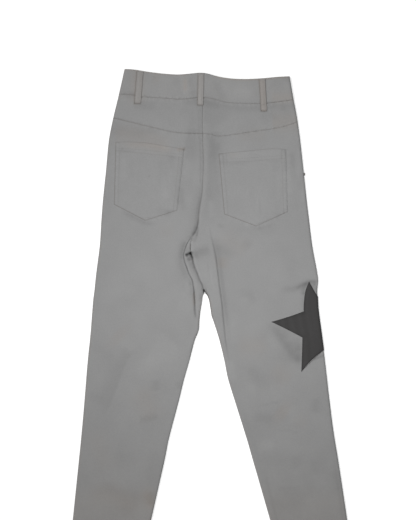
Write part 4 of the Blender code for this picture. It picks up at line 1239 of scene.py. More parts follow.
class JEANS_OT_waistband(bpy.types.Operator):
    """Makes the waistband: the back in one piece, and the two halves of the front"""

    bl_idname = "jeans.waistband"
    bl_label = "Waistband"

    def execute(self, context):
        self.back()
        for side in (LEFT, RIGHT):
            self.front(side)
        return {"FINISHED"}

    @staticmethod
    def back():
        rim, foot = seam_line(BACK_RIM), seam_line(BACK_WAIST, -SEAM_GAP / 2)
        drop_at = lines_between(rim, foot, graded(50.0, 2.4) / 50.0)
        halves = []
        for side in (LEFT, RIGHT):

            def columns(drop, width):
                near = EDGE_STEPS + 0 * width
                return np.hstack([near, span(near[:, -1], width[:, 0], 70)])

            x, drop = spots(side, BACK, drop_at, columns, 20.0)
            level = BAND_TOP + back_relief(x, drop)
            from_rim, from_foot = drop - smooth(BACK_RIM, x), smooth(BACK_WAIST, x) - drop
            turn = rounding(from_rim, 1.1) + rounding(from_foot, 0.9)
            middle = band_middle(side, drop)
            wall = cloth_settings().band_wall / MM - 0.6 * rounding(from_rim, 1.1)
            outer = place(side, BACK, x, drop, -turn, level, middle, True)
            inner = place(side, BACK, x, drop, -wall, level, middle, True)
            # Painted shade along the waist seam and the rim, beside the loops and at the outseam.
            painted_shade = painted_line_shade(from_foot, 0.1) + painted_line_shade(from_rim, 0.12, 1.4) + painted_shadow_round_loops(x, drop)
            painted_shade = painted_shade + outseam_light_and_shade(side, x, drop)
            halves.append([x, drop, outer, inner, painted_shade])
        left, right = halves
        x, drop, outer, inner, painted_shade = (
            np.concatenate([a, b[:, -2::-1]], axis=1) for a, b in zip(left, right)
        )
        paint = back_paint(x, drop, painted_shade)
        cut_from_twill("waistband_back", outer, inner, paint)

    @staticmethod
    def front(side):
        rim, foot = seam_line(FRONT_RIM), seam_line(FRONT_WAIST, -SEAM_GAP / 2)

        def columns(drop, width):
            return edge_to_edge(0 * width, width, 40)

        drop_at = lines_between(rim, foot, graded(50.0, 4.0) / 50.0)
        x, drop = spots(side, FRONT, drop_at, columns, 20.0)
        from_rim = drop - smooth(FRONT_RIM, x)
        from_centre = side * (x - inner_edge(side, FRONT, drop))
        turn = rounding(from_rim, 1.1) + rounding(from_centre, 0.8)
        level = front_level(side, x, drop)
        middle = band_middle(side, drop)
        wall = cloth_settings().band_wall / MM - 0.6 * rounding(from_rim, 1.1)
        outer = place(side, FRONT, x, drop, -turn, level, middle, True)
        inner = place(side, FRONT, x, drop, -wall, level, middle, True)
        # Painted shade along the waist seam.
        painted_shade = painted_line_shade(smooth(FRONT_WAIST, x) - drop, 0.12)
        paint = front_paint(x, drop, painted_shade)
        node = "waistband_front_" + SIDE_NAMES[side]
        cut_from_twill(node, outer, inner, paint)


def pocket_spots(side, across, down):
    """x and drop of a pocket's points, by shares across and down its cut."""
    upper, lower = (np.array(edge) for edge in POCKETS[side])
    edges = []
    for edge in (upper, lower):
        share = (edge[:, 0] - edge[0, 0]) / (edge[-1, 0] - edge[0, 0])
        edges.append(np.stack([np.interp(across, share, edge[:, i]) for i in (0, 1)], axis=-1))
    plan = mix(edges[0], edges[1], np.expand_dims(down, -1))
    return plan[..., 0], plan[..., 1]


def pocket_sizes(side):
    """A pocket's width, its length down the middle, and the share across it at which it comes to a point."""
    upper, lower = (np.array(edge) for edge in POCKETS[side])
    width = upper[-1, 0] - upper[0, 0]
    return width, lower[1, 1] - upper[1, 1], (lower[1, 0] - lower[0, 0]) / width


def pocket_edge(side, x, drop):
    """The distance of points in from a pocket's edge, and how deep the painted shade along the nearest edge
    is, which depends on the way that edge runs.
    """
    upper, lower = (np.array(edge) for edge in POCKETS[side])
    outline = np.vstack([upper, lower[::-1]])
    inset, shade_paint = np.full(np.shape(x), 1e3), np.zeros(np.shape(x))
    for a, b in outline_edges(outline):
        run = (b - a) / np.linalg.norm(b - a)
        into = run[0] * (drop - a[1]) - run[1] * (x - a[0])
        nearer = into < inset
        inset = np.where(nearer, into, inset)
        shade_at_edge = max(0, -0.35 * run[1]) + (0.25 if run[0] < 0 else 0.15) * abs(run[0])
        shade_paint = np.where(nearer, shade_at_edge, shade_paint)
    return np.maximum(inset, 0), shade_paint


def pocket_height(side, x, drop):
    """The height of a pocket's face over the cloth: its edge is pressed flat by the stitches."""
    inset, _ = pocket_edge(side, x, drop)
    upper = np.array(POCKETS[side].upper)
    from_top = drop - np.interp(x, upper[:, 0], upper[:, 1])
    hem = 0.25 * (1 - ramp(from_top, POCKET_HEM_ROWS[0] - 1, POCKET_HEM_ROWS[1] + 1)) * ramp(inset, 0, 3)
    return POCKET_GAP + mix(POCKET_EDGE_WALL, POCKET_WALL, ramp(inset, 0.6, 6)) + hem


class JEANS_OT_back_pockets(bpy.types.Operator):
    """Makes the two patch pockets on the back panels"""

    bl_idname = "jeans.back_pockets"
    bl_label = "Back Pockets"

    def execute(self, context):
        for side in (LEFT, RIGHT):
            width, length, point = pocket_sizes(side)
            across = np.sort(np.append(graded(width, 2.6) / width, point))
            down = graded(length, 2.6) / length
            across, down = np.meshgrid(across, down)
            x, drop = pocket_spots(side, across, down)
            level = back_level(side, x, drop)
            inset, shade_paint = pocket_edge(side, x, drop)
            height = level + pocket_height(side, x, drop) - rounding(inset, 0.3)
            outer = np.stack([x, -drop, height], axis=-1)
            inner = np.stack([x, -drop, level + POCKET_GAP + 0 * x], axis=-1)
            # Painted shade along the stitch rows and the edges, and the hem band painted a little lighter.
            rows = painted_line_shade(down * length - POCKET_HEM_ROWS[1], 0.025, 1.4)
            sides = painted_line_shade(np.minimum(across, 1 - across) * width - POCKET_INNER_ROW, 0.02, 1.4)
            hem = 0.018 * (1 - ramp(down * length, POCKET_HEM_ROWS[0], POCKET_HEM_ROWS[1]))
            paint = back_paint(x, drop, rows + sides - hem + painted_line_shade(inset, shade_paint, 0.9))
            name = SIDE_NAMES[side]
            cut_from_twill("back_pocket_" + name, outer, inner, paint)
        return {"FINISHED"}


def loop_level(loop, x, drop):
    """The height of a loop's outer face: it steps down from the waistband to the cloth below."""
    side = RIGHT if loop.x_top > 0 else LEFT
    if loop.layer == FRONT:
        return front_level(side, x, drop) - LAYER_GAP
    seam = smooth(BACK_WAIST, x)
    below = top(drop) + back_relief(x, drop)
    band = BAND_TOP + back_relief(x, drop)
    return mix(band, below, ramp(drop, seam + 0.8, seam + 5)) + LOOP_GAP


def loop_spots(loop, across, down):
    """x and drop of a loop's points, by its distance from its middle and the share down it."""
    rim, seam = (BACK_RIM, BACK_WAIST) if loop.layer == BACK else (FRONT_RIM, FRONT_WAIST)
    first = smooth(rim, loop.x_top) + LOOP_RIM_INSET
    last = smooth(seam, loop.x_bottom) + LOOP_BELOW_SEAM
    return mix(loop.x_top, loop.x_bottom, down) + across, mix(first, last, down)


class JEANS_OT_belt_loops(bpy.types.Operator):
    """Makes the five belt loops"""

    bl_idname = "jeans.belt_loops"
    bl_label = "Belt Loops"

    def execute(self, context):
        length = LOOP_BELOW_SEAM + 50.0
        for loop in LOOPS:
            across = np.hstack([EDGE_STEPS[:5], np.linspace(2.8, loop.width - 2.8, 7)])
            across = np.append(across, loop.width - EDGE_STEPS[4::-1]) - loop.width / 2
            down = graded(length, 2.0) / length
            across, down = np.meshgrid(across, down)
            x, drop = loop_spots(loop, across * self.corner(down * length), down)
            to_end = np.minimum(down, 1 - down) * length
            to_edge = loop.width / 2 - abs(across)
            level = loop_level(loop, x, drop)
            crown = LOOP_CROWN * np.exp(-((across / 3.2) ** 2)) * ramp(to_end, 1, 6)
            turn = rounding(to_edge, 0.6) + rounding(to_end, 0.6)
            wall = LOOP_WALL + crown - turn
            face = np.stack([x, -drop, level + loop.layer * wall], axis=-1)
            back = np.stack([x, -drop, level + 0 * x], axis=-1)
            # Painted shade along the loop's edges, much deeper on its left edge, and a painted shadow at its
            # lower end.
            deep = np.where(across < 0, 0.46, 0.06)
            painted_shade = painted_line_shade(to_edge, deep, 0.9) + painted_line_shade((1 - down) * length, 0.34, 2.2)
            tone = mix(loop.tone_top, loop.tone_bottom, down)
            paint = {"tone_and_painted_shade": tone - painted_shade, "warmth": loop.warmth + 0.8 * painted_shade}
            cut_from_twill(loop.name, face, back, paint)
        return {"FINISHED"}

    @staticmethod
    def corner(from_top):
        """How far the loop's lower corners are rounded in."""
        return 1 - 0.12 * ramp(from_top, LOOP_BELOW_SEAM + 47.5, LOOP_BELOW_SEAM + 50)


def star_outline(count):
    """The star as (reach, drop) points, `count` to each edge; the front's reach is below 0.

    The outseam leans, so what is folded under there also moves down the leg.
    """
    ends = [outer_edge(RIGHT, STAR_DROP + end * STAR_TIP) for end in (-1, 1)]
    lean = (ends[1] - ends[0]) / (2 * STAR_TIP)
    corners = []
    for i in range(10):
        radius = STAR_NOTCH if i % 2 else STAR_TIP
        turn = STAR_TURN + math.pi * i / 5
        x, drop = STAR_X + radius * math.sin(turn), STAR_DROP - radius * math.cos(turn)
        x, drop = x + STAR_STRAYS[i, 0], drop + STAR_STRAYS[i, 1]
        corners.append((outer_edge(RIGHT, drop) - x, drop))
    corners = np.array(corners)
    edges = []
    for (a, b), bow in zip(outline_edges(corners), STAR_STRAYS[:, 2]):
        out = np.array((b[1] - a[1], a[0] - b[0])) / np.linalg.norm(b - a)
        for share in np.arange(count) / count:
            edges.append(mix(a, b, share) - 4 * bow * share * (1 - share) * out)
    outline = np.array(edges)
    outline[:, 1] += np.maximum(0, -outline[:, 0]) * 2 * lean / (1 + lean * lean)
    return outline


def star_points(reach, drop, lift):
    """Points over the leg at a height over its cloth; on the outseam they lie between the layers."""
    x = outer_edge(RIGHT, drop) - abs(reach)
    over = place(RIGHT, BACK, x, drop, lift, back_level(RIGHT, x, drop))
    below = place(RIGHT, FRONT, x, drop, lift, front_level(RIGHT, x, drop))
    share = np.clip(0.5 + reach / STAR_BEND, 0, 1)[..., None]
    return mix(below, over, share)


class JEANS_OT_star_patch(bpy.types.Operator):
    """Makes the star patch, which wraps round the right outseam"""

    bl_idname = "jeans.star_patch"
    bl_label = "Star Patch"

    def execute(self, context):
        reach, drop, faces, to_edge = self.flat()
        outer = star_points(reach, drop, LAYER_GAP + STAR_WALL - rounding(to_edge, 0.4))
        inner = star_points(reach, drop, LAYER_GAP + 0 * reach)
        settings = cloth_settings()
        material = twill("charcoal_twill", settings.star, settings.star, settings.rib_pitch / MM, 0.92)
        # Painted shade and highlights of soft folds, painted shade where the star rolls round the outseam,
        # and painted shade along its edge.
        painted_fold_shading = 0.05 * np.sin(reach / 2.9 + 0.6 * np.sin(drop / 21)) * ramp(reach, 8, 30)
        painted_roll_shade = 0.08 * np.exp(-((reach / 5) ** 2))
        paint = {"tone_and_painted_shade": 0.98 + painted_fold_shading - painted_roll_shade - painted_line_shade(to_edge, 0.16, 3.2), "warmth": 0 * reach}
        piece = shell("star_patch", outer, inner, faces, material, paint)
        return {"FINISHED"}

    @staticmethod
    def flat():
        """The flat star, slit along lines beside the outseam so that it can bend round it."""
        outline = star_outline(STAR_EDGE_POINTS)
        centre = outline.mean(0)
        shares = np.append(np.linspace(0.03, 0.97, 40), (0.985, 0.994, 1.0))
        rings = centre + shares[:, None, None] * (outline - centre)
        flat = bmesh.new()
        middle = flat.verts.new((*centre, 0))
        loops = [[flat.verts.new((*point, share)) for point in ring] for ring, share in zip(rings, shares)]
        count = len(outline)
        for i in range(count):
            j = (i + 1) % count
            flat.faces.new((middle, loops[0][i], loops[0][j]))
            for near, far in zip(loops, loops[1:]):
                flat.faces.new((near[i], far[i], far[j], near[j]))
        for slit in EDGE_STEPS[:-1].tolist():
            for across in {slit, -slit}:
                whole = flat.verts[:] + flat.edges[:] + flat.faces[:]
                cut = Vector((across, 0, 0))
                bmesh.ops.bisect_plane(flat, geom=whole, dist=0.01, plane_co=cut, plane_no=(1, 0, 0))
        bmesh.ops.triangulate(flat, faces=flat.faces)
        flat.verts.index_update()
        points = np.array([vertex.co for vertex in flat.verts])
        faces = np.array([[vertex.index for vertex in face.verts] for face in flat.faces])
        flat.free()
        radius = np.linalg.norm(points[:, :2] - centre, axis=1) / np.maximum(points[:, 2], 1e-6)
        return points[:, 0], points[:, 1], faces, (1 - points[:, 2]) * radius * 0.5


def mouth_lines(side, turns):
    """Lines across the front that meet the pocket mouth where it has turned so far."""
    head = seam_line(FRONT_WAIST, SEAM_GAP / 2)
    return lines_between(head, leg_lines(side, FRONT, MOUTH_END), np.sin(turns))


class JEANS_OT_front_panels(bpy.types.Operator):
    """Makes the two front panels, which lie on the ground, with their pocket mouths cut away"""

    bl_idname = "jeans.front_panels"
    bl_label = "Front Panels"

    def execute(self, context):
        for side in (LEFT, RIGHT):
            x, drop, from_mouth = self.grid(side)
            level = front_level(side, x, drop)
            from_waist = drop - smooth(FRONT_WAIST, x)
            from_hem = leg_lines(side, FRONT, HEM_DROP)(x) - drop
            turn = rounding(from_mouth) + rounding(from_hem)
            outer = place(side, FRONT, x, drop, -turn, level)
            inner = place(side, FRONT, x, drop, -wall_of_leg(drop), level)
            from_seam = np.where(drop < 440, x - inner_edge(side, FRONT, drop), 99)
            # Painted shade along the pocket mouth, the waist seam and the fly seam.
            painted_shade = painted_line_shade(from_mouth) + painted_line_shade(from_waist) + painted_line_shade(from_seam)
            paint = front_paint(x, drop, painted_shade)
            node = "front_panel_" + SIDE_NAMES[side]
            cut_from_twill(node, outer, inner, paint)
        return {"FINISHED"}

    @staticmethod
    def grid(side):
        """x and drop of the panel's points, and their distance from the pocket mouth."""
        turns = np.append(np.linspace(0, 1.2, 22), (1.27, 1.34, 1.40, MOUTH_LAST_TURN))
        mouth = MOUTH_WIDTH * np.cos(turns)[:, None] + LAYER_GAP

        def beside_mouth(drop, width):
            return edge_to_edge(mouth, width, 42)

        def across_leg(drop, width):
            return edge_to_edge(0 * width, width, 42)

        upper = spots(side, FRONT, mouth_lines(side, turns), beside_mouth, 100.0)
        below = panel_rows(((HEM_DROP - 30, 6.0),), HEM_DROP)[1:]
        nominal = np.append(np.linspace(MOUTH_END, 630, 84), below)
        nominal = np.unique(nominal[nominal >= MOUTH_END])
        lower = spots(side, FRONT, leg_lines(side, FRONT, nominal), across_leg, nominal[:, None])
        from_mouth = side * (outer_edge(side, upper[1]) - upper[0]) - mouth
        x, drop = (np.vstack(pair) for pair in zip(upper, lower))
        return x, drop, np.vstack([np.maximum(from_mouth, 0), np.full(lower[0].shape, 99.0)])


class JEANS_OT_pocket_facings(bpy.types.Operator):
    """Makes the cloth that shows in the front pocket mouths"""

    bl_idname = "jeans.pocket_facings"
    bl_label = "Pocket Facings"

    def execute(self, context):
        for side in (LEFT, RIGHT):
            turns = np.linspace(0, MOUTH_LAST_TURN, 24)
            reach_of_mouth = MOUTH_WIDTH * np.cos(turns)[:, None]

            def columns(drop, width):
                near = EDGE_STEPS + 0 * width
                return np.hstack([near, span(EDGE_STEPS[-1] + 0 * width, reach_of_mouth, 20)])

            x, drop = spots(side, FRONT, mouth_lines(side, turns), columns, 100.0)
            level = front_level(side, x, drop) + FACING_RECESS
            outer = place(side, FRONT, x, drop, 0.0, level)
            inner = place(side, FRONT, x, drop, -cloth_settings().wall / MM, level)
            in_mouth = reach_of_mouth - side * (outer_edge(side, drop) - x)
            # Painted shade along the edge of the pocket mouth.
            paint = front_paint(x, drop, painted_line_shade(in_mouth, 0.2, 2.0))
            name = SIDE_NAMES[side]
            cut_from_twill("pocket_facing_" + name, outer, inner, paint)
        return {"FINISHED"}


# A row of stitches: its path as (x, drop) points, and `surface(x, drop, lift)`, which gives the points at a
# height over the cloth that it is sewn on.
Row = namedtuple("Row", "path surface")
STITCH_RINGS = np.array([-1.0, -0.6, 0.0, 0.6, 1.0])
STITCH_GIRTH = np.array([0.4, 0.9, 1.0, 0.9, 0.4])
STITCH_ARCH = np.array([-0.9, -0.15, 0.3, -0.15, -0.9])
STITCH_SIDES = 5
ROW_INSET = 0.6


def stitch_meshes(rows, stitch, pitch, thread):
    """Points and faces of all the stitches of some rows."""
    points, faces = [], []
    turns = np.arange(STITCH_SIDES) * 2 * np.pi / STITCH_SIDES
    used = 0
    for row in rows:
        rough = smooth_path(row.path, 40 * len(row.path))
        on_cloth = row.surface(rough[:, 0], rough[:, 1], 0 * rough[:, 0])
        outward = row.surface(rough[:, 0], rough[:, 1], 1 + 0 * rough[:, 0]) - on_cloth
        run = np.concatenate([[0], np.cumsum(np.linalg.norm(np.diff(on_cloth, axis=0), axis=1))])
        count = int(run[-1] / pitch)
        middles = (np.arange(count) + 0.5) * run[-1] / max(count, 1)
        at = middles[:, None] + STITCH_RINGS * stitch / 2
        centre, normal, ahead = (
            np.stack([np.interp(where, run, values[:, i]) for i in range(3)], axis=-1)
            for where, values in ((at, on_cloth), (at, outward), (at + 0.3, on_cloth))
        )
        normal /= np.linalg.norm(normal, axis=-1, keepdims=True)
        along = ahead - centre + (0, 1e-6, 0)
        across = np.cross(along, normal)
        across /= np.maximum(np.linalg.norm(across, axis=-1, keepdims=True), 1e-9)
        centre = centre + normal * (STITCH_ARCH * thread / 2)[:, None]
        girth = (STITCH_GIRTH * thread / 2)[None, :, None, None]
        cosine, sine = np.cos(turns)[:, None], 0.8 * np.sin(turns)[:, None]
        ring = cosine * across[:, :, None] + sine * normal[:, :, None]
        points.append((centre[:, :, None] + girth * ring).reshape(-1, 3))
        faces += stitch_faces(count, used)
        used += count * len(STITCH_RINGS) * STITCH_SIDES
    return np.vstack(points), faces


def stitch_faces(count, first):
    """Faces of a number of stitches, whose points start at an index."""
    one = tube_faces(len(STITCH_RINGS), STITCH_SIDES)
    points = len(STITCH_RINGS) * STITCH_SIDES
    return [[i + first + n * points for i in face] for n in range(count) for face in one]


def on_back(side):
    return lambda x, drop, lift: place(side, BACK, x, drop, lift, back_level(side, x, drop))


def on_front(side):
    return lambda x, drop, lift: place(side, FRONT, x, drop, lift, front_level(side, x, drop))


def on_band(side, layer):
    """The face of the waistband."""

    def surface(x, drop, lift):
        level = BAND_TOP + back_relief(x, drop) if layer == BACK else front_level(side, x, drop)
        return place(side, layer, x, drop, lift, level, band_middle(side, drop), True)

    return surface


def on_pocket(side):
    def surface(x, drop, lift):
        height = back_level(side, x, drop) + pocket_height(side, x, drop) + lift
        return np.stack([x, -drop, height], axis=-1)

    return surface


def on_loop(loop):
    def surface(x, drop, lift):
        height = loop_level(loop, x, drop) + loop.layer * (LOOP_WALL + lift)
        return np.stack([x, -drop, height], axis=-1)

    return surface


def across_body(side, table, offset):
    """A path beside a seam that crosses the body, from the outseam to the seat seam."""
    outer = outer_edge(side, smooth(table, outer_edge(side, 60)))
    centre = smooth(CENTRE_BACK, 90) + side * ROW_INSET
    return [(x, smooth(table, x) + offset) for x in np.linspace(outer - side * ROW_INSET, centre, 12)]


def pocket_path(side, shares):
    """A path on a pocket through points given as shares across and down it."""
    across, down = np.array(shares, float).T
    return list(zip(*pocket_spots(side, across, down)))


class JEANS_OT_stitching(bpy.types.Operator):
    """Sews the rows of stitches that show"""

    bl_idname = "jeans.stitching"
    bl_label = "Stitching"

    def execute(self, context):
        settings = context.scene.jeans_sewing
        grey = spun_thread("polyester_thread", settings.colour)
        dark = spun_thread("dark_polyester_thread", settings.dark)
        rows = {
            "stitching_seat": (self.seat_rows() + self.yoke_rows(), grey),
            "stitching_waist": (self.waist_rows(), grey),
            "stitching_pockets": (self.pocket_rows(), grey),
            "stitching_loops": (self.loop_rows(), grey),
            "stitching_front": (self.front_rows(), grey),
            "stitching_hems": (self.hem_rows(), grey),
            "stitching_star": (self.star_rows(), dark),
        }
        sizes = (settings.stitch / MM, settings.pitch / MM, settings.thread / MM)
        for name, (sewn, material) in rows.items():
            points, faces = stitch_meshes(sewn, *sizes)
            add_mesh(name, points, faces, material)
        return {"FINISHED"}

    @staticmethod
    def seat_rows():
        surface = on_back(LEFT)
        return [Row(seat_path(54, 326, offset), surface) for offset in (-1.4, -5.6)]

    @staticmethod
    def yoke_rows():
        return [Row(across_body(side, YOKE_SEAM, -1.6), on_back(side)) for side in (LEFT, RIGHT)]

    @staticmethod
    def waist_rows():
        rows = []
        for side in (LEFT, RIGHT):
            rows.append(Row(across_body(side, BACK_WAIST, -1.8), on_band(side, BACK)))
            rows.append(Row(across_body(side, FRONT_WAIST, -1.8), on_band(side, FRONT)))
        return rows

    @staticmethod
    def pocket_rows():
        rows = []
        for side in (LEFT, RIGHT):
            width, length, point = pocket_sizes(side)
            edge, inner = 1.6 / width, POCKET_INNER_ROW / width
            foot = 1 - 1.8 / length
            columns = (edge, inner, 1 - inner, 1 - edge)
            paths = [[(column, down) for down in (0.01, 0.5, foot)] for column in columns]
            paths += [[(edge, foot), (point / 2, foot), (point, foot)]]
            paths += [[(point, foot), ((1 + point) / 2, foot), (1 - edge, foot)]]
            paths += [[(across, row / length) for across in (edge, 0.5, 1 - edge)] for row in POCKET_HEM_ROWS]
            rows += [Row(pocket_path(side, path), on_pocket(side)) for path in paths]
            for corner in (edge, 1 - edge - BAR_TACK / width):
                bar = [(corner + along / width, 2.2 / length) for along in (0, BAR_TACK / 2, BAR_TACK)]
                rows += [Row(pocket_path(side, bar), on_pocket(side))] * 2
        return rows

    @staticmethod
    def loop_rows():
        rows = []
        for loop in LOOPS:
            for across in (-4.4, 4.4):
                path = [loop_spots(loop, across, share) for share in (0.03, 0.5, 0.97)]
                rows.append(Row(path, on_loop(loop)))
            for share in (0.04, 0.94):
                path = [loop_spots(loop, across, share) for across in (-5.0, 0.0, 5.0)]
                rows.append(Row(path, on_loop(loop)))
        return rows

    @staticmethod
    def front_rows():
        rows = []
        for side in (LEFT, RIGHT):
            for offset in (1.8, 8.0):
                path = []
                start = smooth(FRONT_WAIST, outer_edge(side, 60))
                for turn in np.linspace(0.02, 1.3, 9):
                    reach = (MOUTH_WIDTH + offset) * math.cos(turn)
                    drop = mix(start, MOUTH_END + offset, math.sin(turn)) + 1
                    path.append((outer_edge(side, drop) - side * reach, drop))
                rows.append(Row(path, on_front(side)))
        for offset in (0.0, 6.0):
            path = [(-30 + offset, 76), (-30 + offset, 130), (-29 + offset, 168)]
            path += [(-20 + offset / 2, 196 - offset), (-4, 206 - offset)]
            rows.append(Row(path, on_front(LEFT)))
        seam = [(smooth(CENTRE_FRONT, drop) - 2.0, drop) for drop in np.linspace(214, 430, 10)]
        rows.append(Row(seam, on_front(LEFT)))
        return rows

    @staticmethod
    def hem_rows():
        rows = []
        for side in (LEFT, RIGHT):
            for layer, surface in ((BACK, on_back(side)), (FRONT, on_front(side))):
                nominal = HEM_DROP - HEM_DEPTH + 2.0
                outer, inner = outer_edge(side, nominal), inner_edge(side, layer, nominal)
                line = leg_lines(side, layer, nominal)
                across = np.linspace(outer - side * 0.4, inner + side * 0.4, 8)
                rows.append(Row([(x, float(line(x)[0, 0])) for x in across], surface))
        return rows

    @staticmethod
    def star_rows():
        outline = star_outline(6)
        centre = outline.mean(0)
        shrunk = 1 - 2.6 / np.linalg.norm(outline - centre, axis=1)
        inset = centre + (outline - centre) * shrunk[:, None]
        corners = inset[::6]

        def surface(reach, drop, lift):
            return star_points(reach, drop, LAYER_GAP + STAR_WALL + lift)

        paths = ([mix(a, b, share) for share in (0.02, 0.5, 0.98)] for a, b in outline_edges(corners))
        return [Row(path, surface) for path in paths]


def lathe(node, profile, centre, axis, material):
    """A turned piece from (radius, height) steps, standing on `centre` along `axis`."""
    axis = Vector(axis)
    turn = axis.to_track_quat("Z", "Y").to_matrix()
    points = []
    for radius, height in profile:
        for i in range(LATHE_SIDES):
            angle = 2 * math.pi * i / LATHE_SIDES
            spot = turn @ Vector((radius * math.cos(angle), radius * math.sin(angle), height))
            points.append(Vector(centre) + spot)
    faces = tube_faces(len(profile), LATHE_SIDES)
    add_mesh(node + "_head", [list(point) for point in points], faces, material, [node])


class JEANS_OT_metal(bpy.types.Operator):
    """Makes the waist button and the rivets"""

    bl_idname = "jeans.metal"
    bl_label = "Button and Rivets"

    def execute(self, context):
        settings = context.scene.jeans_metal
        brass = antiqued_brass("antiqued_brass", settings.colour, settings.worn)
        down = (0, 0, -1)
        base = under(LEFT, BUTTON_DROP) - LAYER_GAP
        button = self.button_profile()
        lathe("waist_button", button, (BUTTON_X, -BUTTON_DROP, base), down, brass)
        rivet = self.rivet_profile(RIVET_RADIUS, RIVET_HEIGHT)
        for side in (LEFT, RIGHT):
            mouth_top = outer_edge(side, 60) - side * (MOUTH_WIDTH + RIVET_INSET)
            places = {"upper": (mouth_top, smooth(FRONT_WAIST, mouth_top) + RIVET_INSET)}
            if side == LEFT:
                places["lower"] = (outer_edge(side, MOUTH_END) + 2 * RIVET_INSET, MOUTH_END)
            for name, (x, drop) in places.items():
                node = "rivet_" + name + "_" + SIDE_NAMES[side]
                centre = (x, -drop, under(side, drop) - LAYER_GAP)
                lathe(node, rivet, centre, down, brass)
        drop = SIDE_RIVET_DROP
        centre = (outer_edge(RIGHT, drop) + LAYER_GAP, -drop, (top(drop) + under(RIGHT, drop)) / 2)
        rivet = self.rivet_profile(SIDE_RIVET_RADIUS, SIDE_RIVET_HEIGHT)
        lathe("rivet_lower_right", rivet, centre, (1, 0, 0), brass)
        return {"FINISHED"}

    @staticmethod
    def button_profile():
        """A tack button: a rolled rim round a dished face with a small boss."""
        radius, height = BUTTON_RADIUS, BUTTON_HEIGHT
        rim = ((0.97, 0), (1, 0.25), (0.99, 0.6), (0.94, 0.9), (0.88, 1), (0.82, 0.95), (0.77, 0.75))
        dish = ((0.6, 0.66), (0.34, 0.66), (0.28, 0.8), (0.16, 0.9), (0.04, 0.92))
        return [(radius * across, height * up) for across, up in rim + dish]

    @staticmethod
    def rivet_profile(radius, height):
        """A rivet's burr: a low dome with a raised ring round its dimple."""
        dome = ((0.97, 0), (1, 0.2), (0.95, 0.45), (0.8, 0.7), (0.6, 0.85))
        ring = ((0.5, 1), (0.38, 1), (0.3, 0.8), (0.05, 0.75))
        return [(radius * across, height * up) for across, up in dome + ring]


class JEANS_OT_fly_zip(bpy.types.Operator):
    """Gives the zip inside the fly its woven tape"""

    bl_idname = "jeans.fly_zip"
    bl_label = "Fly Zip"

    def execute(self, context):
        tape = woven_tape("polyester_zip_tape", context.scene.jeans_metal.tape)
        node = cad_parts["fly_zip"]
        node.data.materials.clear()
        node.data.materials.append(tape)
        return {"FINISHED"}


# In metres: the floor's size and level, and the places that the camera and the soft box are straight over.
FLOOR_SIZE = 12
FLOOR_LEVEL = -0.0005
VIEW_CENTRE = (-0.0061, 0.1245)
SOFT_BOX_CENTRE = (0.0, 0.17)
# What the floor adds to its own colour, for the camera and reflections alone, to look like white paper.
PAPER_GLOW = 0.62


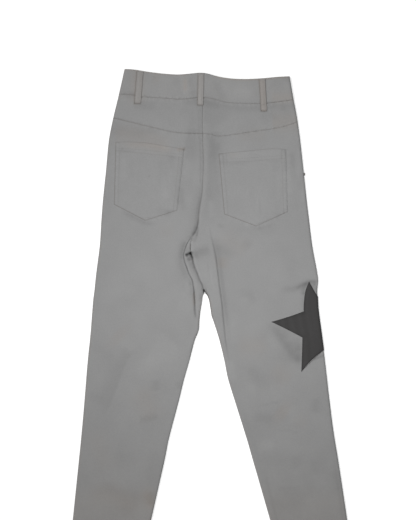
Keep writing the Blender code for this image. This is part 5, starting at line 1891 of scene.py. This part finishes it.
class JEANS_OT_stage(bpy.types.Operator):
    """Makes the floor, the lamps and the camera"""

    bl_idname = "jeans.stage"
    bl_label = "Stage"

    def execute(self, context):
        settings = context.scene.jeans_stage
        self.floor(settings)
        self.lamps(context, settings)
        self.camera(context, settings)
        context.scene.view_settings.view_transform = "Standard"
        return {"FINISHED"}

    @staticmethod
    def floor(settings):
        """A painted board, which the camera and reflections see as white paper with a faint shadow."""
        bpy.ops.mesh.primitive_plane_add(size=FLOOR_SIZE, location=(0, 0, FLOOR_LEVEL))
        floor = bpy.context.object
        floor.name = "floor"
        material, shader = new_material("matt_painted_board")
        grain = add_node(material, "ShaderNodeTexNoise", inputs={"Scale": 900.0, "Detail": 2.0})
        relief = {"Height": grain.outputs["Fac"], "Distance": 0.05 * MM}
        bump = add_node(material, "ShaderNodeBump", inputs=relief)
        colour = (*settings.floor, 1)
        fill(material, shader, {"Base Color": colour, "Roughness": 0.9, "Normal": bump.outputs[0]})
        ray = add_node(material, "ShaderNodeLightPath")
        seen = ray.outputs["Is Camera Ray"]
        for other in ("Is Glossy Ray", "Is Transmission Ray"):
            rays = {0: seen, 1: ray.outputs[other]}
            seen = add_node(material, "ShaderNodeMath", {"operation": "MAXIMUM"}, rays).outputs[0]
        paper = (PAPER_GLOW, PAPER_GLOW, PAPER_GLOW, 1)
        glow = add_node(material, "ShaderNodeEmission", inputs={"Strength": seen, "Color": paper})
        both = add_node(material, "ShaderNodeAddShader", inputs={0: shader.outputs[0], 1: glow.outputs[0]})
        output = material.node_tree.nodes["Material Output"]
        material.node_tree.links.new(both.outputs[0], output.inputs["Surface"])
        floor.data.materials.append(material)

    @staticmethod
    def lamps(context, settings):
        """A wide soft light from the wearer's left, a soft box overhead and an even light from all round."""
        window = bpy.data.lights.new("window", "SUN")
        window.energy = settings.window_power
        window.angle = settings.window_angle
        slope = settings.window_slope
        box = bpy.data.lights.new("soft_box", "AREA")
        box.shape = "SQUARE"
        box.size = settings.lamp_size
        box.energy = settings.lamp_power
        over = Vector((*SOFT_BOX_CENTRE, settings.lamp_height))
        outward = Vector((-math.sin(slope), 0.12, math.cos(slope)))
        for lamp, spot, out in ((window, 2 * outward, outward), (box, over, Vector((0, 0, 1)))):
            holder = bpy.data.objects.new(lamp.name, lamp)
            holder.location = spot
            holder.rotation_mode = "QUATERNION"
            holder.rotation_quaternion = out.to_track_quat("Z", "Y")
            context.scene.collection.objects.link(holder)
        world = bpy.data.worlds.new("white_room")
        world.use_nodes = True
        sky = world.node_tree.nodes["Background"]
        sky.inputs["Color"].default_value = (1, 1, 1, 1)
        sky.inputs["Strength"].default_value = settings.sky
        context.scene.world = world

    @staticmethod
    def camera(context, settings):
        """A long lens straight over the garment; the view ends above the hems."""
        camera = bpy.data.cameras.new("camera")
        camera.lens = camera.sensor_width * settings.camera_height / settings.view_length
        camera.clip_end = 30
        holder = bpy.data.objects.new("camera", camera)
        holder.location = (*VIEW_CENTRE, settings.camera_height)
        context.scene.collection.objects.link(holder)
        context.scene.camera = holder


class JEANS_PT_panel(bpy.types.Panel):
    """Lists the steps and the settings."""

    bl_idname = "JEANS_PT_panel"
    bl_label = "Jeans"
    bl_space_type = "VIEW_3D"
    bl_region_type = "UI"
    bl_category = "Jeans"

    def draw(self, context):
        for step in STEPS:
            self.layout.operator(step.bl_idname)
        for name in SETTINGS:
            group = getattr(context.scene, name)
            for key in group.__annotations__:
                self.layout.prop(group, key)


SETTINGS = {
    "jeans_cloth": JeansClothSettings,
    "jeans_sewing": JeansSewingSettings,
    "jeans_metal": JeansMetalSettings,
    "jeans_stage": JeansStageSettings,
}
STEPS = (
    JEANS_OT_stage,
    JEANS_OT_front_panels,
    JEANS_OT_pocket_facings,
    JEANS_OT_fly_zip,
    JEANS_OT_back_panels,
    JEANS_OT_yokes,
    JEANS_OT_waistband,
    JEANS_OT_back_pockets,
    JEANS_OT_belt_loops,
    JEANS_OT_star_patch,
    JEANS_OT_stitching,
    JEANS_OT_metal,
)


def register():
    for each in (*SETTINGS.values(), *STEPS, JEANS_PT_panel):
        bpy.utils.register_class(each)
    for name, group in SETTINGS.items():
        setattr(bpy.types.Scene, name, PointerProperty(type=group))


def unregister():
    for name in SETTINGS:
        delattr(bpy.types.Scene, name)
    for each in (JEANS_PT_panel, *reversed(STEPS), *reversed(SETTINGS.values())):
        bpy.utils.unregister_class(each)


def main():
    register()
    bpy.ops.jeans.stage()
    bpy.ops.jeans.front_panels()
    bpy.ops.jeans.pocket_facings()
    bpy.ops.jeans.fly_zip()
    bpy.ops.jeans.back_panels()
    bpy.ops.jeans.yokes()
    bpy.ops.jeans.waistband()
    bpy.ops.jeans.back_pockets()
    bpy.ops.jeans.belt_loops()
    bpy.ops.jeans.star_patch()
    bpy.ops.jeans.stitching()
    bpy.ops.jeans.metal()


if __name__ == "__main__":
    main()
